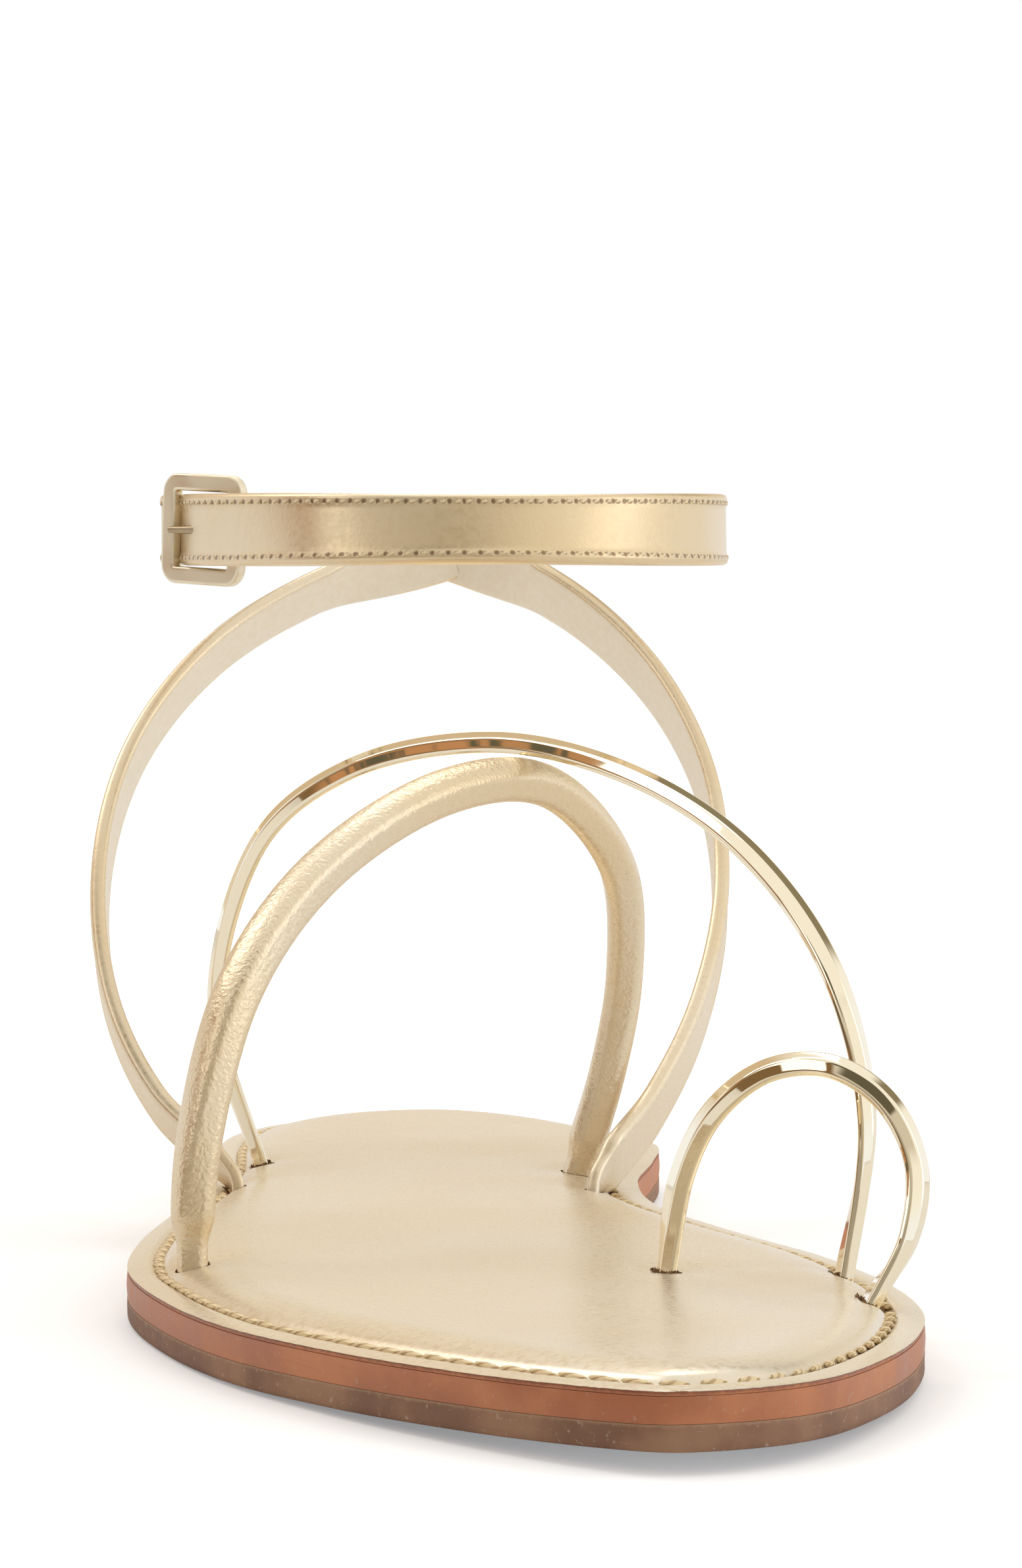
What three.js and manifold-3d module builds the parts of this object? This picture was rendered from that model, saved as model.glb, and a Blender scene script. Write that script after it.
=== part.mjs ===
// Strappy flat sandal for the right foot: a leather sole of three layers, a padded instep strap, a
// metal instep bar, a metal toe ring, and an ankle strap whose two rear straps rise from the sole,
// cross behind the heel and close with a buckle on the outer side.
// Millimetres. +Z is up, the toe points along -Y and the big toe lies on the +X side. The origin is
// under the middle of the sole, on the floor.

import * as THREE from 'three';
import { mergeVertices } from 'three/addons/utils/BufferGeometryUtils.js';
import Module from 'manifold-3d';

const wasm = await Module();
wasm.setup();

// Driving dimensions of the sole
const SOLE_LENGTH = 248;
const BALL_WIDTH = 84;
const OUTSOLE_THICKNESS = 2.7;
const MIDSOLE_HEEL_THICKNESS = 2.8;
const MIDSOLE_TOE_THICKNESS = 2.2;
const INSOLE_THICKNESS = 0.9;
const LAYER_GAP = 0.3;
const TOE_SPRING = 2.4;
const SPRING_START = 0.65;
const OUTSOLE_EDGE_ROUND = 0.9;
const PADDING_RISE = 1.5;
const PADDING_INSET = 4;
const PADDING_SLOPE = 7;
const RIM_DROP = 0.3;

// Driving dimensions of the straps
const TUBE_WIDTH = 5.8;
const TUBE_THICKNESS = 4.8;
const TUBE_HEIGHT = 53;
const METAL_WIDTH = 4;
const METAL_THICKNESS = 1.8;
const BAR_HEIGHT = 57.5;
const RING_HEIGHT = 24.6;
const BAND_WIDTH = 9.6;
const REAR_BAND_WIDTH = 9;
const BAND_THICKNESS = 2.2;
const ANKLE_HEIGHT = 91;
const ANKLE_WIDTH = 71.6;
const ANKLE_DEPTH = 79;
const ANKLE_ALONG = 0.165;
const ANKLE_ACROSS = 0.0095;
const ANKLE_LEAN = 26;
const CROSSING_DROP = 2.7;
const CROSSING_TWIST = 6;
const LATERAL_LEAN = 33;
const MEDIAL_LEAN = 48;
const REAR_SWING = -7;
const INSTEP_TILT = 30;
const FOOT_SLOPE = 0.5;
const REAR_FOOT_SLOPE = 0.15;
const FOOT_LIFT = 1;
const NECK_LENGTH = 5.6;
const NECK_RISE = 3.5;
const TUBE_NECK = 0.72;
const REAR_NECK = 0.75;

// Driving dimensions of the buckle
const FRAME_LENGTH = 14.4;
const FRAME_HEIGHT = 14.8;
const FRAME_BAR = 2.3;
const FRAME_THICKNESS = 1.7;
const FRAME_CORNER = 2.6;
const FRAME_ANGLE = 195;
const FRAME_TURN = 132;
const FRAME_TILT = 2.5;
const PRONG_RADIUS = 0.7;
const FOLD_WALL = 1.2;
const HOLDER_TRIM = 0.4;

// Clearances
const FIT_GAP = 0.3;

// Sole outline. `turn` runs from heel to toe and its cosine gives the place along the length, so both
// ends come out round. The two edges are shares of the ball width, the medial side positive.
const OUTLINE = [
  { turn: 0, medial: 0, lateral: 0 },
  { turn: 0.09, medial: 0.145, lateral: -0.185 },
  { turn: 0.18, medial: 0.268, lateral: -0.322 },
  { turn: 0.26, medial: 0.343, lateral: -0.378 },
  { turn: 0.32, medial: 0.302, lateral: -0.4 },
  { turn: 0.38, medial: 0.238, lateral: -0.436 },
  { turn: 0.44, medial: 0.226, lateral: -0.5 },
  { turn: 0.5, medial: 0.289, lateral: -0.565 },
  { turn: 0.56, medial: 0.371, lateral: -0.598 },
  { turn: 0.62, medial: 0.407, lateral: -0.569 },
  { turn: 0.68, medial: 0.395, lateral: -0.505 },
  { turn: 0.74, medial: 0.34, lateral: -0.404 },
  { turn: 0.82, medial: 0.238, lateral: -0.264 },
  { turn: 0.91, medial: 0.117, lateral: -0.13 },
  { turn: 1, medial: -0.04, lateral: -0.04 },
];

// Strap routes. `along` is a share of the sole length from the heel, `across` a share of the ball
// width and `rise` a share of the strap's own height above the sole.
const TUBE_ROUTE = [
  { along: 0.612, across: -0.514, rise: 0 },
  { along: 0.609, across: -0.514, rise: 0.08 },
  { along: 0.602, across: -0.505, rise: 0.25 },
  { along: 0.576, across: -0.447, rise: 0.56 },
  { along: 0.526, across: -0.318, rise: 0.81 },
  { along: 0.461, across: -0.108, rise: 0.98 },
  { along: 0.411, across: 0.058, rise: 0.975 },
  { along: 0.365, across: 0.183, rise: 0.77 },
  { along: 0.334, across: 0.208, rise: 0.49 },
  { along: 0.322, across: 0.187, rise: 0.25 },
  { along: 0.316, across: 0.142, rise: 0 },
];
const BAR_ROUTE = [
  { along: 0.249, across: -0.329, rise: 0 },
  { along: 0.258, across: -0.402, rise: 0.36 },
  { along: 0.294, across: -0.341, rise: 0.755 },
  { along: 0.335, across: -0.214, rise: 0.925 },
  { along: 0.399, across: -0.023, rise: 0.995 },
  { along: 0.483, across: 0.149, rise: 0.94 },
  { along: 0.571, across: 0.28, rise: 0.79 },
  { along: 0.633, across: 0.36, rise: 0.565 },
  { along: 0.663, across: 0.386, rise: 0.295 },
  { along: 0.671, across: 0.352, rise: 0 },
];
const RING_ROUTE = [
  { along: 0.666, across: 0.109, rise: 0 },
  { along: 0.671, across: 0.125, rise: 0.45 },
  { along: 0.683, across: 0.164, rise: 0.77 },
  { along: 0.698, across: 0.23, rise: 0.97 },
  { along: 0.715, across: 0.306, rise: 1 },
  { along: 0.732, across: 0.371, rise: 0.85 },
  { along: 0.746, across: 0.402, rise: 0.57 },
  { along: 0.756, across: 0.384, rise: 0.26 },
  { along: 0.759, across: 0.335, rise: 0 },
];
const LATERAL_ROUTE = [
  { along: 0.324, across: -0.387, rise: 0 },
  { along: 0.288, across: -0.496, rise: 0.113 },
  { along: 0.247, across: -0.561, rise: 0.261 },
  { along: 0.194, across: -0.568, rise: 0.462 },
  { along: 0.136, across: -0.501, rise: 0.658 },
  { along: 0.085, across: -0.359, rise: 0.821 },
  { along: 0.044, across: -0.159, rise: 0.935 },
];
const MEDIAL_ROUTE = [
  { along: 0.375, across: 0.145, rise: 0 },
  { along: 0.325, across: 0.257, rise: 0.106 },
  { along: 0.272, across: 0.354, rise: 0.239 },
  { along: 0.211, across: 0.422, rise: 0.415 },
  { along: 0.154, across: 0.427, rise: 0.601 },
  { along: 0.1, across: 0.362, rise: 0.772 },
  { along: 0.053, across: 0.234, rise: 0.908 },
];

// Where the rear straps end on the ankle's oval. `angle` is in degrees with the heel's back at 90,
// `drop` a share of the crossing's drop below the ankle strap and `inset` one of its thickness.
const LATERAL_TOP = [
  { angle: 84, drop: 1, inset: 0.8 },
];
const MEDIAL_TOP = [
  { angle: 84, drop: 1, inset: 0.5 },
  { angle: 106, drop: 0.25, inset: 0.5 },
];

// Angles on the oval that the ankle strap's two parts pass, and the free end outside the short part,
// its `lift` a share of the thickness
const WRAP_ANGLES = [112, 92, 72, 52, 32, 12, -8, -28, -48, -68, -88, -108, -128];
const HOLDER_ANGLES = [68, 88, 108, 128, 148, 166, 180];
const FREE_END = [
  { angle: 168, lift: 1.55 },
  { angle: 156, lift: 1.4 },
  { angle: 146, lift: 1.32 },
];

// Band sections as shares of width and thickness: rolled edges for the leather, and a flat back with a
// faceted front for the metal.
const LEATHER_SECTION = [
  [-0.5, -0.2], [-0.42, -0.5], [0.42, -0.5], [0.5, -0.2],
  [0.5, 0.2], [0.42, 0.5], [-0.42, 0.5], [-0.5, 0.2],
];
const METAL_SECTION = [[-0.46, -0.5], [0.46, -0.5], [0.5, -0.1], [0.24, 0.5], [-0.24, 0.5], [-0.5, -0.1]];
const ROUND_SECTION = ringSection(12);

// Worked-out sizes
const MIDSOLE_BASE = OUTSOLE_THICKNESS + LAYER_GAP;
const ANKLE_CENTRE = place(ANKLE_ALONG, ANKLE_ACROSS);
const REAR_HEIGHT = ANKLE_HEIGHT - CROSSING_DROP - strapBase(0);
const LAYER_STATIONS = 46;
const ACROSS_STEPS = 12;
const ROUND_MIDDLE = 1 - Math.SQRT1_2;
const END_ROUND_SHARE = 0.3;

// Small helpers
function inRadians(degrees) {
  return (degrees * Math.PI) / 180;
}

function ringSection(count) {
  return Array.from({ length: count }, (_, i) => {
    const angle = (2 * Math.PI * i) / count;
    return [0.5 * Math.cos(angle), 0.5 * Math.sin(angle)];
  });
}

function clamp01(value) {
  return Math.min(Math.max(value, 0), 1);
}

function smooth(value) {
  const t = clamp01(value);
  return t * t * (3 - 2 * t);
}

// Height of the curved sole surfaces at a share `along` of the length
function spring(along) {
  const t = clamp01((along - SPRING_START) / (1 - SPRING_START));
  return TOE_SPRING * t * t;
}

function midsoleTop(along) {
  const thickness = THREE.MathUtils.lerp(MIDSOLE_HEEL_THICKNESS, MIDSOLE_TOE_THICKNESS, along);
  return spring(along) + MIDSOLE_BASE + thickness;
}

function insoleBase(along) {
  return midsoleTop(along) + LAYER_GAP;
}

function insoleTop(along) {
  return insoleBase(along) + INSOLE_THICKNESS;
}

// Height of the padding beside the straps' feet, from which they rise
function strapBase(along) {
  return insoleTop(along) + PADDING_RISE / 2;
}

function place(along, across) {
  return new THREE.Vector2(across * BALL_WIDTH, (0.5 - along) * SOLE_LENGTH);
}

// Both edges of the sole at a turn between heel and toe
const outlineTurns = OUTLINE.map((row) => row.turn);
const outlineEdges = OUTLINE.flatMap((row) => [row.lateral * BALL_WIDTH, row.medial * BALL_WIDTH]);
const edgeCurve = new THREE.CubicInterpolant(outlineTurns, outlineEdges, 2);

function stationAt(turn) {
  const along = (1 - Math.cos(Math.PI * turn)) / 2;
  const [left, right] = edgeCurve.evaluate(turn);
  return { along, left, right, y: (0.5 - along) * SOLE_LENGTH };
}

const FIRST_TURN = 0.006;
const stations = Array.from({ length: LAYER_STATIONS + 1 }, (_, i) => {
  return stationAt(THREE.MathUtils.lerp(FIRST_TURN, 1 - FIRST_TURN, i / LAYER_STATIONS));
});
const outlinePoints = [
  ...stations.map((s) => new THREE.Vector2(s.left, s.y)),
  ...[...stations].reverse().map((s) => new THREE.Vector2(s.right, s.y)),
];

// Distance from a point to the sole's edge
function edgeDistance(x, y) {
  const point = new THREE.Vector3(x, y, 0);
  const nearest = new THREE.Vector3();
  const line = new THREE.Line3();
  const distances = outlinePoints.map((start, i) => {
    const end = outlinePoints[(i + 1) % outlinePoints.length];
    line.set(new THREE.Vector3(start.x, start.y, 0), new THREE.Vector3(end.x, end.y, 0));
    line.closestPointToPoint(point, true, nearest);
    return nearest.distanceTo(point);
  });
  return Math.min(...distances);
}

// A closed skin over equal loops of points, with both ends capped from their middles
function skin(loops) {
  const count = loops[0].length;
  const positions = loops.flat().flatMap((p) => [p.x, p.y, p.z]);
  const index = [];
  for (let i = 0; i < loops.length - 1; i += 1) {
    for (let j = 0; j < count; j += 1) {
      const a = i * count + j;
      const b = i * count + ((j + 1) % count);
      index.push(a, b, b + count, a, b + count, a + count);
    }
  }
  const ends = [loops[0], loops[loops.length - 1]];
  ends.forEach((loop, which) => {
    const middle = loop.reduce((sum, p) => sum.add(p), new THREE.Vector3()).divideScalar(count);
    const hub = positions.length / 3;
    positions.push(middle.x, middle.y, middle.z);
    const start = which === 0 ? 0 : (loops.length - 1) * count;
    for (let j = 0; j < count; j += 1) {
      const a = start + j;
      const b = start + ((j + 1) % count);
      index.push(...(which === 0 ? [hub, b, a] : [hub, a, b]));
    }
  });
  const geometry = new THREE.BufferGeometry();
  geometry.setAttribute('position', new THREE.Float32BufferAttribute(positions, 3));
  geometry.setIndex(index);
  return geometry;
}

// Boolean solids
function toSolid(geometry) {
  const bare = geometry.clone();
  bare.deleteAttribute('normal');
  bare.deleteAttribute('uv');
  const merged = mergeVertices(bare, 1e-4);
  const vertProperties = new Float32Array(merged.attributes.position.array);
  const triVerts = new Uint32Array(merged.index.array);
  return new wasm.Manifold(new wasm.Mesh({ numProp: 3, vertProperties, triVerts }));
}

function toGeometry(solid) {
  const result = solid.getMesh();
  const geometry = new THREE.BufferGeometry();
  const positions = new Float32Array(result.vertProperties);
  geometry.setAttribute('position', new THREE.BufferAttribute(positions, 3));
  geometry.setIndex([...result.triVerts]);
  return geometry;
}

// Sole layers
function layerLoops(sectionOf) {
  return stations.map((station) => {
    return sectionOf(station).map(([x, z]) => new THREE.Vector3(x, station.y, z));
  });
}

function outsoleGeometry() {
  return skin(layerLoops(({ along, left, right }) => {
    const inset = Math.min(OUTSOLE_EDGE_ROUND, END_ROUND_SHARE * (right - left));
    const base = spring(along);
    const shoulder = base + OUTSOLE_EDGE_ROUND;
    const middle = base + OUTSOLE_EDGE_ROUND * ROUND_MIDDLE;
    const top = base + OUTSOLE_THICKNESS;
    return [
      [left, top], [left, shoulder], [left + inset * ROUND_MIDDLE, middle], [left + inset, base],
      [right - inset, base], [right - inset * ROUND_MIDDLE, middle], [right, shoulder], [right, top],
    ];
  }));
}

function midsoleGeometry() {
  return skin(layerLoops(({ along, left, right }) => {
    const base = spring(along) + MIDSOLE_BASE;
    const top = midsoleTop(along);
    return [[left, top], [left, base], [right, base], [right, top]];
  }));
}

// Top of the insole: a rim that drops a little to the edge, and padding that swells inside it
function footbedHeight(x, y, along) {
  const inset = edgeDistance(x, y);
  const rim = RIM_DROP * (smooth(inset / PADDING_INSET) - 1);
  return insoleTop(along) + rim + PADDING_RISE * smooth((inset - PADDING_INSET) / PADDING_SLOPE);
}

function insoleGeometry() {
  return skin(layerLoops(({ along, left, right, y }) => {
    const base = insoleBase(along);
    const section = [[left, base], [right, base]];
    for (let i = 0; i <= ACROSS_STEPS; i += 1) {
      const share = 0.5 + 0.5 * Math.sin(Math.PI * (i / ACROSS_STEPS - 0.5));
      const x = THREE.MathUtils.lerp(right, left, share);
      section.push([x, footbedHeight(x, y, along)]);
    }
    return section;
  }));
}

// A strap swept along a curve. `outward` gives the direction that its face looks in, and `necks` the
// girth at the first and last end. With `grow` it is the space around the strap between two of its
// steps, run on past both ends of that stretch.
function sweep(strap, grow = 0, firstStep = 0, lastStep = strap.steps) {
  const { curve, steps, section, width, thickness, outward, necks = [1, 1] } = strap;
  const length = curve.getLength();
  const loops = [];
  for (let i = firstStep; i <= lastStep; i += 1) {
    const share = i / steps;
    const point = curve.getPointAt(share);
    const tangent = curve.getTangentAt(share);
    if (i === firstStep) {
      point.addScaledVector(tangent, -grow);
    } else if (i === lastStep) {
      point.addScaledVector(tangent, grow);
    }
    const face = outward(point, tangent);
    face.addScaledVector(tangent, -face.dot(tangent)).normalize();
    const side = new THREE.Vector3().crossVectors(face, tangent);
    const fromFirst = smooth((share * length - NECK_LENGTH) / NECK_RISE);
    const fromLast = smooth(((1 - share) * length - NECK_LENGTH) / NECK_RISE);
    const girth = 1 - (1 - necks[0]) * (1 - fromFirst) - (1 - necks[1]) * (1 - fromLast);
    const fullWidth = width * girth + 2 * grow;
    const fullThickness = thickness * girth + 2 * grow;
    loops.push(section.map(([w, n]) => {
      return point.clone().addScaledVector(side, w * fullWidth).addScaledVector(face, n * fullThickness);
    }));
  }
  return skin(loops);
}

// A route's points. Its feet go on down into the midsole, nearly as steeply as the strap meets it.
function routePoints(route, height) {
  return route.map(({ along, across, rise }) => {
    const spot = place(along, across);
    return new THREE.Vector3(spot.x, spot.y, strapBase(along) + height * rise);
  });
}

function footPoint(last, before, height, slopeLimit) {
  const [end, above] = routePoints([last, before], height);
  const depth = end.z - spring(last.along) - MIDSOLE_BASE - FOOT_LIFT;
  const slope = new THREE.Vector2(end.x - above.x, end.y - above.y).divideScalar(above.z - end.z);
  slope.clampLength(0, slopeLimit);
  return new THREE.Vector3(end.x + slope.x * depth, end.y + slope.y * depth, end.z - depth);
}

function smoothCurve(points) {
  return new THREE.CatmullRomCurve3(points, false, 'centripetal');
}

// Both feet on the sole
function instepCurve(route, height) {
  return smoothCurve([
    footPoint(route[0], route[1], height, FOOT_SLOPE),
    ...routePoints(route, height),
    footPoint(route[route.length - 1], route[route.length - 2], height, FOOT_SLOPE),
  ]);
}

// One foot on the sole and the other end at the ankle strap
function rearCurve(route, top) {
  const ends = top.map(({ angle, drop, inset }) => {
    const point = anklePoint(angle);
    point.addScaledVector(aroundAnkle(point), -inset * BAND_THICKNESS);
    return point.setZ(ANKLE_HEIGHT - drop * CROSSING_DROP);
  });
  const foot = footPoint(route[0], route[1], REAR_HEIGHT, REAR_FOOT_SLOPE);
  return smoothCurve([foot, ...routePoints(route, REAR_HEIGHT), ...ends]);
}

// Outward over the foot: away from a low line inside the arch, tipped forward by the instep's slope
function overInstep(route) {
  const first = place(route[0].along, route[0].across);
  const last = place(route[route.length - 1].along, route[route.length - 1].across);
  const middle = first.add(last).multiplyScalar(0.5);
  const low = insoleTop(0.5) + PADDING_RISE;
  return (point) => {
    const height = Math.max(point.z - low, 0);
    const forward = -height * Math.tan(inRadians(INSTEP_TILT));
    return new THREE.Vector3(point.x - middle.x, forward, height);
  };
}

// A point on the ankle's oval, 90 degrees behind the heel and -90 degrees in front of the ankle
function anklePoint(degrees) {
  const angle = inRadians(degrees);
  return new THREE.Vector3(
    ANKLE_CENTRE.x + (ANKLE_WIDTH / 2) * Math.cos(angle),
    ANKLE_CENTRE.y + (ANKLE_DEPTH / 2) * Math.sin(angle),
    ANKLE_HEIGHT,
  );
}

// Outward from the ankle, leaning back with the instep in front
function aroundAnkle(point) {
  const across = (point.x - ANKLE_CENTRE.x) / (ANKLE_WIDTH / 2);
  const depth = (point.y - ANKLE_CENTRE.y) / (ANKLE_DEPTH / 2);
  const lean = inRadians(ANKLE_LEAN) * Math.max(-depth, 0) ** 2;
  const out = new THREE.Vector3(across / ANKLE_WIDTH, depth / ANKLE_DEPTH, 0).normalize();
  return out.multiplyScalar(Math.cos(lean)).setZ(Math.sin(lean));
}

// A rear strap is cut flat and bent round the heel, so its width keeps one direction, up and forward,
// and it turns upright only in the last stretch below the ankle strap. `side` is 1 on the inner side.
function aroundHeel(leanDegrees, side) {
  const lean = inRadians(leanDegrees);
  const swing = inRadians(REAR_SWING);
  const width = new THREE.Vector3(
    Math.sin(swing) * Math.cos(lean), -Math.cos(swing) * Math.cos(lean), Math.sin(lean),
  );
  return (point, tangent) => {
    const face = new THREE.Vector3().crossVectors(tangent, width).multiplyScalar(side).normalize();
    const below = ANKLE_HEIGHT - CROSSING_DROP - point.z;
    return face.lerp(aroundAnkle(point), smooth(1 - below / CROSSING_TWIST));
  };
}

const tubeSweep = {
  curve: instepCurve(TUBE_ROUTE, TUBE_HEIGHT),
  steps: 60,
  section: ROUND_SECTION,
  width: TUBE_WIDTH,
  thickness: TUBE_THICKNESS,
  outward: overInstep(TUBE_ROUTE),
  necks: [TUBE_NECK, TUBE_NECK],
};
const barSweep = {
  curve: instepCurve(BAR_ROUTE, BAR_HEIGHT),
  steps: 64,
  section: METAL_SECTION,
  width: METAL_WIDTH,
  thickness: METAL_THICKNESS,
  outward: overInstep(BAR_ROUTE),
};
const ringSweep = {
  curve: instepCurve(RING_ROUTE, RING_HEIGHT),
  steps: 40,
  section: METAL_SECTION,
  width: METAL_WIDTH,
  thickness: METAL_THICKNESS,
  outward: overInstep(RING_ROUTE),
};
const lateralSweep = {
  curve: rearCurve(LATERAL_ROUTE, LATERAL_TOP),
  steps: 36,
  section: LEATHER_SECTION,
  width: REAR_BAND_WIDTH,
  thickness: BAND_THICKNESS,
  outward: aroundHeel(LATERAL_LEAN, -1),
  necks: [REAR_NECK, 1],
};
const medialSweep = {
  curve: rearCurve(MEDIAL_ROUTE, MEDIAL_TOP),
  steps: 36,
  section: LEATHER_SECTION,
  width: REAR_BAND_WIDTH,
  thickness: BAND_THICKNESS,
  outward: aroundHeel(MEDIAL_LEAN, 1),
  necks: [REAR_NECK, 1],
};

// Buckle place. The inner bar sits under the ankle strap at its own angle on the oval, and the frame
// runs straight back and outward from it.
const frameAlong = new THREE.Vector3(Math.cos(inRadians(FRAME_TURN)), Math.sin(inRadians(FRAME_TURN)), 0);
const frameOut = new THREE.Vector3(-frameAlong.y, frameAlong.x, 0);
const BAR_PITCH = FRAME_LENGTH - FRAME_BAR;
const BAR_RADIUS = Math.hypot(FRAME_BAR, FRAME_THICKNESS) / 2;
const FOLD_RADIUS = BAR_RADIUS + FIT_GAP + FOLD_WALL;
const OVER_INNER = FOLD_RADIUS + FIT_GAP + BAND_THICKNESS / 2;
const UNDER_OUTER = FRAME_THICKNESS / 2 + FIT_GAP + BAND_THICKNESS / 2;
const onOval = anklePoint(FRAME_ANGLE);
const innerBar = onOval.clone().addScaledVector(aroundAnkle(onOval).setZ(0).normalize(), -OVER_INNER);
const outerBar = innerBar.clone().addScaledVector(frameAlong, BAR_PITCH);

// The ankle strap's long part: from the crossing round the inner side and the front, over the
// buckle's inner bar, under its outer bar and on to its free end
function wrapCurve() {
  const freeEnd = FREE_END.map(({ angle, lift }) => {
    const point = anklePoint(angle);
    return point.addScaledVector(aroundAnkle(point).setZ(0).normalize(), lift * BAND_THICKNESS);
  });
  return smoothCurve([
    ...WRAP_ANGLES.map(anklePoint),
    innerBar.clone().addScaledVector(frameOut, OVER_INNER),
    outerBar.clone().addScaledVector(frameOut, -UNDER_OUTER),
    ...freeEnd,
  ]);
}

// The short part: from the crossing round the outer side to the fold on the buckle's inner bar
function holderCurve() {
  return smoothCurve([...HOLDER_ANGLES.map(anklePoint), innerBar.clone()]);
}

function uprightCylinder(radius, height, at) {
  const geometry = new THREE.CylinderGeometry(radius, radius, height, 16);
  geometry.rotateX(Math.PI / 2);
  geometry.translate(at.x, at.y, at.z);
  return geometry;
}

// The prong: a loop around the inner bar and a straight pin that reaches the outer bar's inner edge
const PRONG_RISE = BAR_RADIUS + FIT_GAP + PRONG_RADIUS;
const PRONG_REST = FRAME_THICKNESS / 2 + FIT_GAP + PRONG_RADIUS;
function prongCurve() {
  const local = (x, n) => innerBar.clone().addScaledVector(frameAlong, x).addScaledVector(frameOut, n);
  const points = [];
  for (let degrees = -60; degrees <= 90; degrees += 30) {
    const angle = inRadians(180 - degrees);
    points.push(local(PRONG_RISE * Math.cos(angle), PRONG_RISE * Math.sin(angle)));
  }
  points.push(local(BAR_PITCH * 0.5, (PRONG_RISE + PRONG_REST) / 2));
  points.push(local(BAR_PITCH - FRAME_BAR / 2 - FIT_GAP, PRONG_REST));
  return smoothCurve(points);
}

function prongGeometry(grow = 0) {
  const up = new THREE.Vector3(0, 0, 1);
  const prong = {
    curve: prongCurve(),
    steps: 22,
    section: ringSection(8),
    width: 2 * PRONG_RADIUS,
    thickness: 2 * PRONG_RADIUS,
    outward: () => up.clone(),
  };
  return sweep(prong, grow);
}

function roundedRectangle(width, height, radius) {
  const [x, y] = [width / 2, height / 2];
  const shape = new THREE.Shape();
  shape.moveTo(-x + radius, -y);
  shape.lineTo(x - radius, -y);
  shape.absarc(x - radius, -y + radius, radius, -Math.PI / 2, 0);
  shape.lineTo(x, y - radius);
  shape.absarc(x - radius, y - radius, radius, 0, Math.PI / 2);
  shape.lineTo(-x + radius, y);
  shape.absarc(-x + radius, y - radius, radius, Math.PI / 2, Math.PI);
  shape.lineTo(-x, -y + radius);
  shape.absarc(-x + radius, -y + radius, radius, Math.PI, 1.5 * Math.PI);
  return shape;
}

// The frame lies in its own plane: x from inner to outer bar, y up, z outward from the ankle
function frameGeometry(grow = 0) {
  const outline = roundedRectangle(FRAME_LENGTH + 2 * grow, FRAME_HEIGHT + 2 * grow, FRAME_CORNER + grow);
  const innerLength = FRAME_LENGTH - 2 * FRAME_BAR - 2 * grow;
  const innerHeight = FRAME_HEIGHT - 2 * FRAME_BAR - 2 * grow;
  outline.holes.push(roundedRectangle(innerLength, innerHeight, FRAME_CORNER - FRAME_BAR));
  const depth = FRAME_THICKNESS + 2 * grow;
  const geometry = new THREE.ExtrudeGeometry(outline, { depth, bevelEnabled: false, curveSegments: 4 });
  geometry.translate(0, 0, -depth / 2);
  const inward = frameOut.clone().negate();
  const turn = new THREE.Matrix4().makeBasis(frameAlong, new THREE.Vector3(0, 0, 1), inward);
  const tilt = new THREE.Matrix4().makeRotationZ(inRadians(FRAME_TILT));
  const middle = innerBar.clone().add(outerBar).multiplyScalar(0.5);
  geometry.applyMatrix4(turn.multiply(tilt).setPosition(middle));
  return geometry;
}

// Booleans between the pieces
const SLOT_STEPS = 6;
function feetOf(strap, ends) {
  const feet = [];
  if (ends.includes('first')) {
    feet.push(toSolid(sweep(strap, FIT_GAP, 0, SLOT_STEPS)));
  }
  if (ends.includes('last')) {
    feet.push(toSolid(sweep(strap, FIT_GAP, strap.steps - SLOT_STEPS, strap.steps)));
  }
  return feet;
}
const strapFeet = [
  ...feetOf(tubeSweep, ['first', 'last']),
  ...feetOf(barSweep, ['first', 'last']),
  ...feetOf(ringSweep, ['first', 'last']),
  ...feetOf(lateralSweep, ['first']),
  ...feetOf(medialSweep, ['first']),
];

function cutSlots(geometry) {
  return toGeometry(strapFeet.reduce((solid, foot) => solid.subtract(foot), toSolid(geometry)));
}

function ankleStrapGeometry() {
  const band = {
    section: LEATHER_SECTION,
    width: BAND_WIDTH,
    thickness: BAND_THICKNESS,
    outward: aroundAnkle,
  };
  const holder = {
    ...band,
    curve: holderCurve(),
    steps: 20,
    width: BAND_WIDTH - HOLDER_TRIM,
    thickness: BAND_THICKNESS - HOLDER_TRIM,
  };
  const strap = toSolid(sweep({ ...band, curve: wrapCurve(), steps: 64 }))
    .add(toSolid(sweep(holder)))
    .add(toSolid(uprightCylinder(FOLD_RADIUS, BAND_WIDTH - HOLDER_TRIM, innerBar)))
    .add(toSolid(sweep(lateralSweep)))
    .add(toSolid(sweep(medialSweep)));
  const buckleSpace = toSolid(frameGeometry(FIT_GAP)).add(toSolid(prongGeometry(FIT_GAP)));
  return toGeometry(strap.subtract(buckleSpace));
}

// Materials
const goldLeather = new THREE.MeshStandardMaterial({ color: 0xdcc9a0, roughness: 0.38, metalness: 0.45 });
const tanLeather = new THREE.MeshStandardMaterial({ color: 0xa86e4c, roughness: 0.55, metalness: 0 });
const brownLeather = new THREE.MeshStandardMaterial({ color: 0x7f5f4c, roughness: 0.75, metalness: 0 });
const polishedMetal = new THREE.MeshStandardMaterial({ color: 0xe8d9a8, roughness: 0.08, metalness: 1 });
const satinMetal = new THREE.MeshStandardMaterial({ color: 0xcdbb98, roughness: 0.35, metalness: 1 });

const group = new THREE.Group();
function addPiece(name, geometry, material) {
  const mesh = new THREE.Mesh(geometry, material);
  mesh.name = name;
  group.add(mesh);
}

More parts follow.
